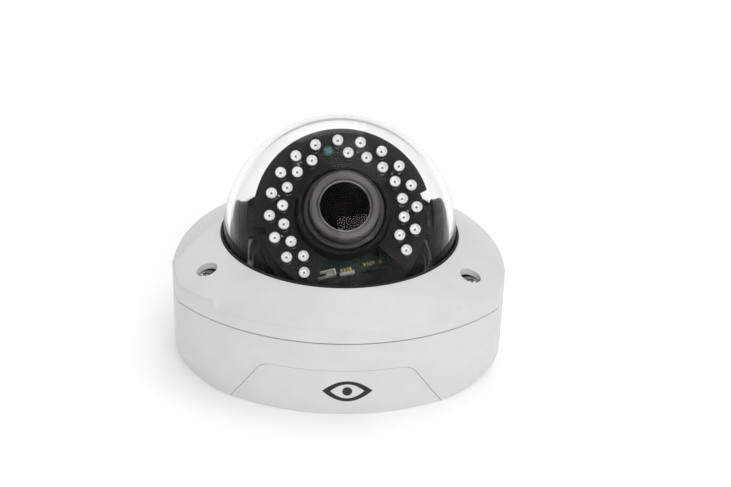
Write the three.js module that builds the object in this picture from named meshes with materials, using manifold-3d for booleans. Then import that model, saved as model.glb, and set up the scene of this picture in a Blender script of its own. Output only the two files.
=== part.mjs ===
// Vandal-resistant dome camera on a three-sided die-cast housing.
// Millimetres, +Z up through the dome, front of the camera towards -Y,
// origin at the centre of the flat mounting face under the base.
import * as THREE from 'three';
import { mergeVertices } from 'three/addons/utils/BufferGeometryUtils.js';
import Module from 'manifold-3d';

const wasm = await Module();
wasm.setup();

// ---------------------------------------------------------------- driving sizes
const GAP = 0.3;                  // clearance between pieces that only rest on each other
const EPS = 1;                    // how far a cutter runs past the face that it opens

// sides of round pieces: large rings, lens rings, bosses and small parts
const LARGE = 36;
const MEDIUM = 24;
const SMALL = 12;
const TINY = 8;

// housing plan: three large arcs that meet at rounded corners
const SHOULDER_WIDTH = 20.9;      // from the dome's opening to the plan's widest point
const ARC_OFFSET = 17.85;         // each arc's centre lies this far behind the dome's axis
const CORNER_ROUND = 2.5;

// base
const BASE_HEIGHT = 34.8;
const BASE_WALL = 3.5;
const BASE_FLOOR = 3.5;
const FOOT_SPREAD = 1.2;          // the round outline that trims the corners at the bottom
const CORNER_SPREAD = 0.35;       // and how far it has passed the corners where it runs out
const BASE_FOOT_TRIM = 10;        // height where it runs out
const BASE_BEVEL = 0.6;
const PANEL_DEPTH = 0.45;         // shallow front panel
const PANEL_HEIGHT = 22;
const PANEL_HALF_BOTTOM = 46;
const PANEL_HALF_TOP = 32.5;
const SEAL_WIDTH = 1.3;
const SEAL_HEIGHT = 1.5;
const SEAL_INSET = 1.1;

// cover
const SEAM = 0.4;                 // open line between base and cover
const COVER_WALL = 2.8;
const COVER_HEIGHT = 16.5;        // from the seam to the rim of the dome opening
const OPENING_PLAY = 0.4;         // round the gasket's lip
const CONE_SLOPE = 0.32;          // fall of the cover's top per millimetre of radius
const FACET_OVERLAP = 0.1;        // the facets' crease cuts this far into the opening's rim
const FACET_HALF_ANGLE = 42.9;    // and end this far round from their middle, degrees
const FACET_DROP = 3.9;           // a facet's lower edge lies this far below the cone
const LIP_CHAMFER = 0.5;
const SHOULDER_CHAMFER = 0.8;

// cover screws
const SCREW_INSET = 13.66;        // from the corner of the plan
const POCKET_RADIUS = 4.75;
const POCKET_DEPTH = 9.7;         // below the opening's rim
const SCREW_HEAD_RADIUS = 4.2;
const SCREW_HEAD_HEIGHT = 3;
const SCREW_SHANK_RADIUS = 2.1;
const SCREW_REACH = 12.8;         // of the screw's tip into the base
const BOSS_RADIUS = 6.3;

// dome
const DOME_RADIUS = 52.9;
const DOME_WALL = 2.9;
const DOME_LIFT = 0.1;            // of the sphere's centre above the opening's rim
const FLANGE_WIDTH = 4.9;
const FLANGE_THICKNESS = 2.3;
const GASKET_THICKNESS = 0.9;
const GASKET_LIP = 0.5;
const CLAMP_THICKNESS = 2.3;
const CLAMP_BAND = 7;
const CLAMP_LUG = 4.2;            // from the flange's edge to the clamp screws
const CLAMP_SCREW_ANGLES = [80, 200, 320];

// pan, tilt and rotation
const PAN_REST = 4.6;             // degrees, towards +X
const TILT_LIFT = 3.2;            // of the tilt axis above the dome's centre
const ELEVATION_REST = 40;        // degrees above level
const ROTATION_REST = 11.7;       // degrees, anticlockwise seen from in front
const RING_WIDTH = 7.3;
const RING_LEDGE = 0.7;           // of the pan ring inside the arms
const GIMBAL_RISE = 1.7;          // of the gimbal base above the housing's base
const FRICTION_THICKNESS = 0.6;
const PAN_THICKNESS = 3.3;
const ARM_THICKNESS = 3.2;
const ARM_HALF = 8.5;
const ARM_RISE = 11;              // above the tilt axis
const ARM_CLEARANCE = 3.4;        // between the cradle's ring and the arms
const PIVOT_RADIUS = 2.6;
const CHEEK_THICKNESS = 2.8;

// camera module, along the lens axis from the tilt axis
const CARRIER_Z = 2.5;
const CARRIER_THICKNESS = 3;
const CARRIER_RADIUS = 33;
const CARRIER_MARGIN = 4.4;       // between the lens and the carrier's bore
const CRADLE_BAND = 5.5;          // of the cradle's ring outside the carrier
const CARRIER_LAP = 1.5;          // of the carrier on the cradle's seat
const CARRIER_RIM = 2;            // left outside the window below the lens
const WINDOW_HALF_WIDTH = 22;
const POST_LAND = 1.4;            // of the carrier left round a standoff
const PCB_SIZE = 38;
const PCB_DROP = 3;               // the main board reaches this much further below the lens
const PCB_Z = -10;                // front face of the main board
const PCB_THICKNESS = 1.6;
const LED_BOARD_Z = 19;           // front face of the lamp board
const LED_BOARD_RADIUS = 38;
const LED_BOARD_LOWER_RADIUS = 36;
const LED_BOARD_MARGIN = 0.7;     // round the shroud
const LED_BOARD_OPEN = 146;       // the board ends this far round from its top, degrees
const LED_RADIUS = 2.5;
const LED_HEIGHT = 6.5;
const LED_OUTER_CIRCLE = 32.3;
const LED_INNER_CIRCLE = 26.7;
const LED_STEP = 18;
const POST_OFFSET = 16.6;
const POST_RADIUS = 1.8;
const SHROUD_WALL = 2;
const SHROUD_PLAY = 0.5;          // round the focus ring

// lens
const LENS_RADIUS = 15.1;
const LENS_BODY_BACK = 2;
const LENS_BODY_FRONT = 24;
const FRONT_BACK = 24.5;
const FRONT_FACE = 33.5;
const GLASS_INSET = 4.4;          // of the front glass inside the lens body
const SLEEVE_INSET = 2.7;         // of the sliding sleeve
const BODY_WALL = 5.5;
const FOCUS_GRIP = 2.9;
const ZOOM_GRIP = 2.1;

// derived sizes
const OPENING_RADIUS = DOME_RADIUS + GAP + GASKET_LIP + OPENING_PLAY;
const FACET_CREASE = OPENING_RADIUS - FACET_OVERLAP;
const HALF_WIDTH = OPENING_RADIUS + SHOULDER_WIDTH;
const ARC_RADIUS = HALF_WIDTH + ARC_OFFSET * Math.cos(Math.PI / 6);
const BASE_FOOT_RADIUS = HALF_WIDTH + FOOT_SPREAD;
const COVER_BOTTOM = BASE_HEIGHT + SEAM;
const OPENING_Z = COVER_BOTTOM + COVER_HEIGHT;
const POCKET_FLOOR_Z = OPENING_Z - POCKET_DEPTH;
const SCREW_TIP_Z = BASE_HEIGHT - SCREW_REACH;
const DOME_CENTRE_Z = OPENING_Z + DOME_LIFT;
const FLANGE_RADIUS = DOME_RADIUS + FLANGE_WIDTH;
const CLAMP_SCREW_CIRCLE = FLANGE_RADIUS + CLAMP_LUG;
const TILT_Z = DOME_CENTRE_Z + TILT_LIFT;
const GIMBAL_TOP = BASE_HEIGHT + GIMBAL_RISE;
const ARM_TOP = TILT_Z + ARM_RISE;
const CRADLE_RADIUS = CARRIER_RADIUS + CRADLE_BAND;
const ARM_INNER_X = CRADLE_RADIUS + ARM_CLEARANCE;
const RING_INNER = ARM_INNER_X - RING_LEDGE;
const RING_OUTER = RING_INNER + RING_WIDTH;
const CARRIER_BORE = LENS_RADIUS + CARRIER_MARGIN;
const GLASS_RADIUS = LENS_RADIUS - GLASS_INSET;
const SLEEVE_RADIUS = LENS_RADIUS - SLEEVE_INSET;
const BODY_BORE = LENS_RADIUS - BODY_WALL;
const RING_GRIP_RADIUS = LENS_RADIUS + FOCUS_GRIP;
const ZOOM_GRIP_RADIUS = LENS_RADIUS + ZOOM_GRIP;
const SHROUD_INNER = RING_GRIP_RADIUS + SHROUD_PLAY;
const SHROUD_OUTER = SHROUD_INNER + SHROUD_WALL;
const LED_BOARD_BORE = SHROUD_OUTER + LED_BOARD_MARGIN;
const SEAT_Z = OPENING_Z - 4.7;
const SEAT_RADIUS = FLANGE_RADIUS + 0.8;
const GASKET_TOP = SEAT_Z - GAP;
const FLANGE_TOP = GASKET_TOP - GASKET_THICKNESS - GAP;
const CLAMP_TOP = FLANGE_TOP - FLANGE_THICKNESS - GAP;
const CLAMP_INNER = DOME_RADIUS - DOME_WALL + 0.5;
const FRICTION_Z = GIMBAL_TOP + GAP;
const PAN_Z = FRICTION_Z + FRICTION_THICKNESS + GAP;
const PAN_TOP = PAN_Z + PAN_THICKNESS;
const ARM_FOOT_Z = PAN_TOP + GAP;

// ---------------------------------------------------------------- materials
const finish = (color, roughness, metalness = 0, extra = {}) =>
  new THREE.MeshStandardMaterial({ color, roughness, metalness, ...extra });
const PAINT = finish(0xdedfdb, 0.42);
const BLACK_PLASTIC = finish(0x121212, 0.4);
const BLACK_METAL = finish(0x1a1a1a, 0.5, 0.6);
const RUBBER = finish(0x0b0b0b, 0.85);
const CLEAR = finish(0xf4f8f8, 0.03, 0, { transparent: true, opacity: 0.25 });
const STEEL = finish(0xb9bcc0, 0.28, 1);
const BRASS = finish(0xb9964a, 0.3, 1);
const BOARD_BLACK = finish(0x0a0a0b, 0.35);
const BOARD_GREEN = finish(0x0d4a2a, 0.4);
const LENS_GREY = finish(0x56524e, 0.5);
const CREAM = finish(0xe8e0c8, 0.5);
const SENSOR_TEAL = finish(0x2f8f8a, 0.4);

// ---------------------------------------------------------------- solids
const rad = THREE.MathUtils.degToRad;
const sin = (degrees) => Math.sin(rad(degrees));
const cos = (degrees) => Math.cos(rad(degrees));
const V2 = (x, y) => new THREE.Vector2(x, y);

// Merge shared corners, drop collapsed triangles and turn the faces outwards.
function closed(geometry) {
  const bare = geometry.clone();
  bare.deleteAttribute('normal');
  bare.deleteAttribute('uv');
  const merged = mergeVertices(bare, 1e-4);
  const source = merged.index.array;
  const at = merged.attributes.position;
  const kept = [];
  const [a, b, c] = [new THREE.Vector3(), new THREE.Vector3(), new THREE.Vector3()];
  let volume = 0;
  for (let i = 0; i < source.length; i += 3) {
    const [p, q, r] = [source[i], source[i + 1], source[i + 2]];
    if (p === q || q === r || r === p) continue;
    kept.push(p, q, r);
    a.fromBufferAttribute(at, p);
    b.fromBufferAttribute(at, q);
    c.fromBufferAttribute(at, r);
    volume += a.dot(b.cross(c));
  }
  if (volume < 0) {
    for (let i = 0; i < kept.length; i += 3) {
      [kept[i], kept[i + 1]] = [kept[i + 1], kept[i]];
    }
  }
  merged.setIndex(kept);
  return merged;
}

function toSolid(geometry) {
  const g = closed(geometry);
  return new wasm.Manifold(new wasm.Mesh({
    numProp: 3,
    vertProperties: new Float32Array(g.attributes.position.array),
    triVerts: new Uint32Array(g.index.array),
  }));
}

function toGeometry(solid) {
  const mesh = solid.getMesh();
  const g = new THREE.BufferGeometry();
  g.setAttribute('position', new THREE.BufferAttribute(new Float32Array(mesh.vertProperties), 3));
  g.setIndex(new THREE.BufferAttribute(new Uint32Array(mesh.triVerts), 1));
  return g;
}

const join = (...pieces) => toGeometry(pieces.map(toSolid).reduce((sum, piece) => sum.add(piece)));
const cut = (body, ...tools) =>
  toGeometry(tools.map(toSolid).reduce((rest, tool) => rest.subtract(tool), toSolid(body)));
const common = (a, b) => toGeometry(toSolid(a).intersect(toSolid(b)));

// Profile of [radius, height] points turned round the Z axis.
function turned(profile, segments = MEDIUM) {
  const ends = profile[0][0] === 0 && profile[profile.length - 1][0] === 0;
  const points = (ends ? profile : [...profile, profile[0]]).map(([r, z]) => V2(r, z));
  return new THREE.LatheGeometry(points, segments).rotateX(Math.PI / 2);
}

const rod = (radius, bottom, top, segments = SMALL) =>
  turned([[0, bottom], [radius, bottom], [radius, top], [0, top]], segments);

const tube = (inner, outer, bottom, top, segments = MEDIUM) =>
  turned([[inner, bottom], [outer, bottom], [outer, top], [inner, top]], segments);

const block = (x0, x1, y0, y1, z0, z1) =>
  new THREE.BoxGeometry(x1 - x0, y1 - y0, z1 - z0)
    .translate((x0 + x1) / 2, (y0 + y1) / 2, (z0 + z1) / 2);

const plate = (shape, bottom, top, curveSegments = 10) =>
  new THREE.ExtrudeGeometry(shape, { depth: top - bottom, bevelEnabled: false, curveSegments })
    .translate(0, 0, bottom);

// Point at a distance from the dome's axis; azimuth 0 is the front, -Y, and 90 is +X.
const around = (radius, azimuth) => [radius * sin(azimuth), -radius * cos(azimuth)];

// Pan-head screw along Z: the head's underside is at z = 0, the shank hangs below.
function screw(headRadius, headHeight, shankRadius, length, segments = TINY) {
  return turned([
    [0, -length],
    [shankRadius, -length],
    [shankRadius, 0],
    [headRadius, 0],
    [headRadius, headHeight * 0.55],
    [headRadius * 0.7, headHeight],
    [0, headHeight],
  ], segments);
}

// ---------------------------------------------------------------- housing plan
// Distance from the axis to the middle of a corner's round.
const cornerCentre = -ARC_OFFSET / 2
  + Math.sqrt((ARC_RADIUS - CORNER_ROUND) ** 2 - (3 * ARC_OFFSET ** 2) / 4);

// Azimuth where an arc hands over to the corner round, measured from the arc's middle.
const tangentAzimuth = (() => {
  const cx = cornerCentre * sin(60);
  const cy = cornerCentre * cos(60);
  const fromArc = Math.atan2(cx, cy + ARC_OFFSET);
  return THREE.MathUtils.radToDeg(Math.atan2(
    cx + CORNER_ROUND * Math.sin(fromArc),
    cy + CORNER_ROUND * Math.cos(fromArc),
  ));
})();

// Folds an azimuth into -60..60 about the middle of the nearest of the three arcs.
const fold = (azimuth) => {
  const turn = ((azimuth % 120) + 180) % 120;
  return turn - 60;
};

// Distance from the axis to the plan's outline, moved outwards by offset.
function planRadius(azimuth, offset = 0) {
  const phi = fold(azimuth);
  const delta = 60 - Math.abs(phi);
  if (Math.abs(phi) <= tangentAzimuth) {
    return -ARC_OFFSET * cos(phi)
      + Math.sqrt((ARC_RADIUS + offset) ** 2 - (ARC_OFFSET * sin(phi)) ** 2);
  }
  const round = Math.max(CORNER_ROUND + offset, 0.2);
  const reach = CORNER_ROUND + offset < 0.2
    ? cornerCentre + (CORNER_ROUND + offset - 0.2) * 1.1
    : cornerCentre;
  return reach * cos(delta) + Math.sqrt(Math.max(round ** 2 - (reach * sin(delta)) ** 2, 0));
}

// Azimuths where the housing's surfaces are sampled: the corner, its tangents,
// both sides of each facet's end, and even steps between.
const AZIMUTHS = (() => {
  const third = [-60, -tangentAzimuth, -52, -FACET_HALF_ANGLE - 0.6];
  const steps = 8;
  for (let i = 0; i <= steps; i += 1) {
    third.push(-FACET_HALF_ANGLE + (2 * FACET_HALF_ANGLE * i) / steps);
  }
  third.push(FACET_HALF_ANGLE + 0.6, 52, tangentAzimuth);
  return [0, 120, 240].flatMap((middle) => third.map((phi) => middle + phi));
})();

// Loft of one profile per azimuth. Each profile starts and ends on the axis.
function lofted(profileAt) {
  const columns = AZIMUTHS.map(profileAt);
  const count = columns[0].length;
  const positions = [];
  columns.forEach((profile, column) => profile.forEach(([r, z]) => {
    const [x, y] = around(r, AZIMUTHS[column]);
    positions.push(x, y, z);
  }));
  const index = [];
  for (let i = 0; i < columns.length; i += 1) {
    const next = ((i + 1) % columns.length) * count;
    for (let j = 0; j < count - 1; j += 1) {
      const here = i * count + j;
      const there = next + j;
      index.push(here, there, there + 1, here, there + 1, here + 1);
    }
  }
  const g = new THREE.BufferGeometry();
  g.setAttribute('position', new THREE.Float32BufferAttribute(positions, 3));
  g.setIndex(index);
  return g;
}

const prism = (offset, bottom, top) => lofted((azimuth) => [
  [0, bottom],
  [planRadius(azimuth, offset), bottom],
  [planRadius(azimuth, offset), top],
  [0, top],
]);

const band = (outset, inset, bottom, top) =>
  cut(prism(outset, bottom, top), prism(inset, bottom - EPS, top + EPS));

const corners = [60, 180, 300];
const CORNER_RADIUS = planRadius(corners[0]);
const SCREW_CIRCLE = CORNER_RADIUS - SCREW_INSET;

// ---------------------------------------------------------------- scene graph
const camera = new THREE.Group();
const panGroup = new THREE.Group();
const tiltGroup = new THREE.Group();
const moduleGroup = new THREE.Group();
panGroup.rotation.z = rad(PAN_REST);
tiltGroup.position.z = TILT_Z;
tiltGroup.rotation.x = rad(90 - ELEVATION_REST);
moduleGroup.rotation.z = rad(ROTATION_REST);
camera.add(panGroup);
panGroup.add(tiltGroup);
tiltGroup.add(moduleGroup);

function part(name, geometry, material, group = camera) {
  const mesh = new THREE.Mesh(closed(geometry), material);
  mesh.name = name;
  group.add(mesh);
  return mesh;
}

// ---------------------------------------------------------------- base
const LEG_AZIMUTHS = [90, 210, 330];
const LEG_CIRCLE = RING_OUTER - 2.5;
const LEG_RADIUS = 4;
const LEG_FOOT_Z = BASE_FLOOR + GAP;
const GROMMET = { x: 0, y: 26, radius: 9, bore: 4 };
const CONDUIT = { azimuth: 120, z: 17.5, radius: 10 };
const MOUNT_SLOTS = [0, 120, 240];
const BOARD_PILLARS = [[-24, 0], [24, 0]];
const FLOOR_BOARD = { halfX: 30, y0: -12, y1: 12, z: 5.2, thickness: 1.6 };
const TERMINAL_HEIGHT = 7;
const JACK_HEIGHT = 6.3;

function wallPoint(azimuth, offset = 0) {
  return around(planRadius(azimuth, offset), azimuth);
}

function makeBase() {
  const trim = (azimuth, z) => Math.min(
    planRadius(azimuth),
    BASE_FOOT_RADIUS
      + ((CORNER_RADIUS + CORNER_SPREAD - BASE_FOOT_RADIUS) * z) / BASE_FOOT_TRIM,
  );
  const outside = lofted((azimuth) => [
    [0, 0],
    [trim(azimuth, 0) - BASE_BEVEL, 0],
    [trim(azimuth, BASE_BEVEL), BASE_BEVEL],
    [trim(azimuth, BASE_FOOT_TRIM), BASE_FOOT_TRIM],
    [planRadius(azimuth), BASE_HEIGHT],
    [0, BASE_HEIGHT],
  ]);
  const inside = lofted((azimuth) => {
    const foot = Math.min(planRadius(azimuth, -BASE_WALL), BASE_FOOT_RADIUS - BASE_WALL + 0.6);
    return [
      [0, BASE_FLOOR],
      [foot, BASE_FLOOR],
      [Math.min(planRadius(azimuth, -BASE_WALL), BASE_FOOT_RADIUS), BASE_FOOT_TRIM + 1],
      [planRadius(azimuth, -BASE_WALL), BASE_HEIGHT + EPS],
      [0, BASE_HEIGHT + EPS],
    ];
  });
  const shell = cut(outside, inside);
  const bosses = corners.map((azimuth) => {
    const [x, y] = around(SCREW_CIRCLE, azimuth);
    return rod(BOSS_RADIUS, BASE_FLOOR - EPS, BASE_HEIGHT, SMALL).translate(x, y, 0);
  });
  const pillars = BOARD_PILLARS.map(([x, y]) =>
    rod(3, BASE_FLOOR - EPS, FLOOR_BOARD.z - GAP, TINY).translate(x, y, 0));
  const solid = join(shell, ...bosses, ...pillars);
  const holes = corners.map((azimuth) => {
    const [x, y] = around(SCREW_CIRCLE, azimuth);
    return rod(SCREW_SHANK_RADIUS + GAP, SCREW_TIP_Z - EPS, BASE_HEIGHT + EPS, SMALL)
      .translate(x, y, 0);
  });
  const grommetHole = rod(GROMMET.radius, -EPS, BASE_FLOOR + EPS, MEDIUM)
    .translate(GROMMET.x, GROMMET.y, 0);
  const slots = MOUNT_SLOTS.map((azimuth) => {
    const slot = new THREE.Shape();
    const [half, r] = [4, 2.4];
    slot.moveTo(-half, -r);
    slot.lineTo(half, -r);
    slot.absarc(half, 0, r, -Math.PI / 2, Math.PI / 2);
    slot.lineTo(-half, r);
    slot.absarc(-half, 0, r, Math.PI / 2, (3 * Math.PI) / 2);
    const [x, y] = around(60, azimuth);
    return plate(slot, -EPS, BASE_FLOOR + EPS, 5).rotateZ(rad(azimuth)).translate(x, y, 0);
  });
  const [cx, cy] = wallPoint(CONDUIT.azimuth);
  const conduitHole = rod(CONDUIT.radius, -12, 12, SMALL)
    .rotateX(Math.PI / 2)
    .rotateZ(rad(CONDUIT.azimuth))
    .translate(cx, cy, CONDUIT.z);
  const groove = band(-SEAL_INSET + GAP, -SEAL_INSET - SEAL_WIDTH - GAP,
    BASE_HEIGHT - SEAL_HEIGHT, BASE_HEIGHT + EPS);
  return cut(solid, ...holes, grommetHole, ...slots, conduitHole, groove, makePanelCutter());
}

// Trapezoid with rounded upper corners, cut slightly into the front wall.
function makePanelCutter() {
  const outline = new THREE.Shape();
  const round = 5;
  outline.moveTo(-PANEL_HALF_BOTTOM - 1, -EPS);
  outline.lineTo(PANEL_HALF_BOTTOM + 1, -EPS);
  outline.lineTo(PANEL_HALF_TOP + round * 0.5, PANEL_HEIGHT - round * 0.9);
  outline.quadraticCurveTo(PANEL_HALF_TOP, PANEL_HEIGHT, PANEL_HALF_TOP - round, PANEL_HEIGHT);
  outline.lineTo(-PANEL_HALF_TOP + round, PANEL_HEIGHT);
  outline.quadraticCurveTo(-PANEL_HALF_TOP, PANEL_HEIGHT,
    -PANEL_HALF_TOP - round * 0.5, PANEL_HEIGHT - round * 0.9);
  const stencil = plate(outline, 0, 60, 4).rotateX(Math.PI / 2).translate(0, -30, 0);
  const skin = cut(prism(2, -EPS, PANEL_HEIGHT + EPS),
    prism(-PANEL_DEPTH, -2 * EPS, PANEL_HEIGHT + 2 * EPS));
  return common(stencil, skin);
}

part('base_housing', makeBase(), PAINT);

part('housing_seal', band(-SEAL_INSET, -SEAL_INSET - SEAL_WIDTH,
  BASE_HEIGHT - SEAL_HEIGHT + GAP, BASE_HEIGHT + 0.1), RUBBER);

part('cable_grommet', turned([
  [GROMMET.bore, 0.4],
  [GROMMET.radius - GAP, 0.4],
  [GROMMET.radius - GAP, BASE_FLOOR + GAP],
  [GROMMET.radius + 2, BASE_FLOOR + GAP],
  [GROMMET.radius + 2, BASE_FLOOR + 2],
  [GROMMET.bore + 2.5, BASE_FLOOR + 4.5],
  [GROMMET.bore, BASE_FLOOR + 4.5],
], MEDIUM).translate(GROMMET.x, GROMMET.y, 0), RUBBER);

// conduit plug in the rear side wall, with its flange and seal outside
function onConduit(geometry) {
  const [x, y] = wallPoint(CONDUIT.azimuth);
  return geometry.rotateX(Math.PI / 2).rotateZ(rad(CONDUIT.azimuth)).translate(x, y, CONDUIT.z);
}
const SEAL_FACE = 0.8;
part('conduit_plug_seal', onConduit(tube(CONDUIT.radius + GAP, CONDUIT.radius + 2.4,
  SEAL_FACE - 0.3, SEAL_FACE + 0.7, SMALL)), RUBBER);
part('conduit_plug', onConduit(cut(
  turned([
    [0, -6],
    [CONDUIT.radius - GAP, -6],
    [CONDUIT.radius - GAP, SEAL_FACE + 0.7 + GAP],
    [CONDUIT.radius + 2.6, SEAL_FACE + 0.7 + GAP],
    [CONDUIT.radius + 2.6, SEAL_FACE + 2.4],
    [0, SEAL_FACE + 2.4],
  ], SMALL),
  rod(4, SEAL_FACE, SEAL_FACE + 4, 6),
)), PAINT);

// ---------------------------------------------------------------- wiring board
const boardTop = FLOOR_BOARD.z + FLOOR_BOARD.thickness;
part('terminal_board', cut(
  block(-FLOOR_BOARD.halfX, FLOOR_BOARD.halfX, FLOOR_BOARD.y0, FLOOR_BOARD.y1,
    FLOOR_BOARD.z, boardTop),
  ...BOARD_PILLARS.map(([x, y]) => rod(1.8, 0, 20, TINY).translate(x, y, 0)),
), BOARD_GREEN);
part('power_terminal', cut(
  block(-12, -1, -10, 0, boardTop + GAP, boardTop + TERMINAL_HEIGHT),
  ...[-9, -4].map((x) => rod(1.2, boardTop + 4, boardTop + TERMINAL_HEIGHT + EPS, TINY)
    .translate(x, -5, 0)),
), CREAM);
part('service_jack', cut(
  block(4, 13, -10, 0, boardTop + GAP, boardTop + JACK_HEIGHT),
  rod(1.9, -14, -2, TINY).rotateX(Math.PI / 2).translate(8.5, -12, boardTop + 3.3),
), BLACK_PLASTIC);
BOARD_PILLARS.forEach(([x, y], i) => {
  part(`terminal_board_screw_${i + 1}`, screw(3, 1.8, 1.4, 1.6)
    .translate(x, y, boardTop + GAP), STEEL);
});

// ---------------------------------------------------------------- gimbal base
const FRAME_SCREW = 1.5;          // shank radius of the screws that hold the frames
const GIMBAL_PLATE = 2.5;
const GIMBAL_SKIRT = { width: 2.4, height: 6 };
const LEG_FOOT = { half: 4, height: 2.4, reach: 7, screw: 8 };

function makeGimbalBase() {
  const ring = turned([
    [RING_INNER, GIMBAL_TOP - GIMBAL_SKIRT.height],
    [RING_INNER + GIMBAL_SKIRT.width, GIMBAL_TOP - GIMBAL_SKIRT.height],
    [RING_INNER + GIMBAL_SKIRT.width, GIMBAL_TOP - GIMBAL_PLATE],
    [RING_OUTER + 1, GIMBAL_TOP - GIMBAL_PLATE],
    [RING_OUTER + 1, GIMBAL_TOP],
    [RING_INNER, GIMBAL_TOP],
  ], LARGE);
  const legs = LEG_AZIMUTHS.map((azimuth) => {
    const [x, y] = around(LEG_CIRCLE, azimuth);
    return rod(LEG_RADIUS, LEG_FOOT_Z, GIMBAL_TOP - 1, TINY).translate(x, y, 0);
  });
  const feet = LEG_AZIMUTHS.map((azimuth) => {
    const [x, y] = around(LEG_CIRCLE + LEG_FOOT.reach, azimuth);
    return block(-LEG_FOOT.half, LEG_FOOT.half, -LEG_FOOT.half, LEG_FOOT.half,
      LEG_FOOT_Z, LEG_FOOT_Z + LEG_FOOT.height)
      .rotateZ(rad(azimuth))
      .translate(x, y, 0);
  });
  const holes = LEG_AZIMUTHS.map((azimuth) => {
    const [x, y] = around(LEG_CIRCLE + LEG_FOOT.screw, azimuth);
    return rod(FRAME_SCREW + GAP + 0.1, 0, 12, TINY).translate(x, y, 0);
  });
  return cut(join(ring, ...legs, ...feet), ...holes);
}
part('gimbal_base', makeGimbalBase(), BLACK_PLASTIC);
LEG_AZIMUTHS.forEach((azimuth, i) => {
  const [x, y] = around(LEG_CIRCLE + LEG_FOOT.screw, azimuth);
  part(`gimbal_screw_${i + 1}`, screw(2.8, 1.8, FRAME_SCREW, 2.6)
    .translate(x, y, LEG_FOOT_Z + LEG_FOOT.height + GAP), STEEL);
});
part('pan_friction_ring', tube(RING_INNER + 1.5, RING_OUTER - 1.5, FRICTION_Z,
  FRICTION_Z + FRICTION_THICKNESS, LARGE), finish(0xd8d8d4, 0.4));

// black bowl that hides the wiring; the tilting parts swing inside it
const LINER_WALL = 1.2;
const LINER_HOLE = 7;
const LINER_Z = boardTop + TERMINAL_HEIGHT + 0.4;
const LINER_FLOOR_RADIUS = RING_INNER - 14.2;
const LINER_RIM = RING_INNER - GAP;
part('inner_liner', turned([
  [LINER_HOLE, LINER_Z],
  [LINER_FLOOR_RADIUS + 1, LINER_Z],
  [LINER_RIM, GIMBAL_TOP - 1.9],
  [LINER_RIM, GIMBAL_TOP - GAP],
  [LINER_RIM - LINER_WALL, GIMBAL_TOP - GAP],
  [LINER_FLOOR_RADIUS, LINER_Z + LINER_WALL],
  [LINER_HOLE, LINER_Z + LINER_WALL],
], LARGE), BLACK_PLASTIC);

// ---------------------------------------------------------------- cover
const coneZ = (radius) => OPENING_Z - CONE_SLOPE * (radius - OPENING_RADIUS);
const inFacet = (azimuth) => Math.abs(fold(azimuth)) <= FACET_HALF_ANGLE + 0.01;

// Radius and height of the crease and of the shoulder at an azimuth.
function coverLines(azimuth) {
  const outer = planRadius(azimuth);
  if (!inFacet(azimuth)) {
    const crease = outer - 4;
    return { outer, crease, creaseZ: coneZ(crease), shoulderZ: coneZ(outer) };
  }
  const crease = Math.max(FACET_CREASE / cos(fold(azimuth)), OPENING_RADIUS + LIP_CHAMFER + 0.4);
  return { outer, crease, creaseZ: coneZ(crease), shoulderZ: coneZ(outer) - FACET_DROP };
}

function makeCover() {
  const outside = lofted((azimuth) => {
    const { outer, crease, creaseZ, shoulderZ } = coverLines(azimuth);
    return [
      [0, COVER_BOTTOM],
      [outer, COVER_BOTTOM],
      [outer, shoulderZ - SHOULDER_CHAMFER],
      [outer - SHOULDER_CHAMFER, shoulderZ],
      [crease, creaseZ],
      [OPENING_RADIUS + LIP_CHAMFER, OPENING_Z],
      [0, OPENING_Z],
    ];
  });
  const inside = lofted((azimuth) => {
    const { outer, crease, shoulderZ } = coverLines(azimuth);
    const wall = planRadius(azimuth, -COVER_WALL);
    const bend = Math.min(crease, outer - 8);
    return [
      [0, COVER_BOTTOM - EPS],
      [wall, COVER_BOTTOM - EPS],
      [wall, shoulderZ - COVER_WALL],
      [bend, coneZ(bend) - COVER_WALL],
      [OPENING_RADIUS, OPENING_Z - COVER_WALL],
      [0, OPENING_Z - COVER_WALL],
    ];
  });
  const keptSeat = rod(SEAT_RADIUS, SEAT_Z, OPENING_Z + EPS, LARGE);
  const shell = cut(outside, cut(inside, keptSeat));
  const opening = turned([
    [0, COVER_BOTTOM],
    [OPENING_RADIUS, COVER_BOTTOM],
    [OPENING_RADIUS, OPENING_Z - LIP_CHAMFER],
    [OPENING_RADIUS + LIP_CHAMFER + 0.3, OPENING_Z + 0.3],
    [0, OPENING_Z + 0.3],
  ], LARGE);
  const bosses = corners.map((azimuth) => {
    const [x, y] = around(SCREW_CIRCLE, azimuth);
    return rod(BOSS_RADIUS, COVER_BOTTOM, POCKET_FLOOR_Z + 2, SMALL).translate(x, y, 0);
  });
  const nuts = CLAMP_SCREW_ANGLES.map((azimuth) => {
    const [x, y] = around(CLAMP_SCREW_CIRCLE, azimuth);
    return rod(2.8, CLAMP_TOP + GAP, coneZ(CLAMP_SCREW_CIRCLE) - 1, TINY).translate(x, y, 0);
  });
  const pockets = corners.flatMap((azimuth) => {
    const [x, y] = around(SCREW_CIRCLE, azimuth);
    return [
      rod(POCKET_RADIUS, POCKET_FLOOR_Z, OPENING_Z + EPS, MEDIUM).translate(x, y, 0),
      rod(SCREW_SHANK_RADIUS + GAP, COVER_BOTTOM - EPS, POCKET_FLOOR_Z + EPS, SMALL)
        .translate(x, y, 0),
    ];
  });
  const taps = CLAMP_SCREW_ANGLES.map((azimuth) => {
    const [x, y] = around(CLAMP_SCREW_CIRCLE, azimuth);
    return rod(FRAME_SCREW + GAP, CLAMP_TOP, CLAMP_TOP + 3.6, TINY).translate(x, y, 0);
  });
  return cut(join(cut(shell, opening), ...bosses, ...nuts), ...pockets, ...taps);
}
part('top_cover', makeCover(), PAINT);

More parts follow.
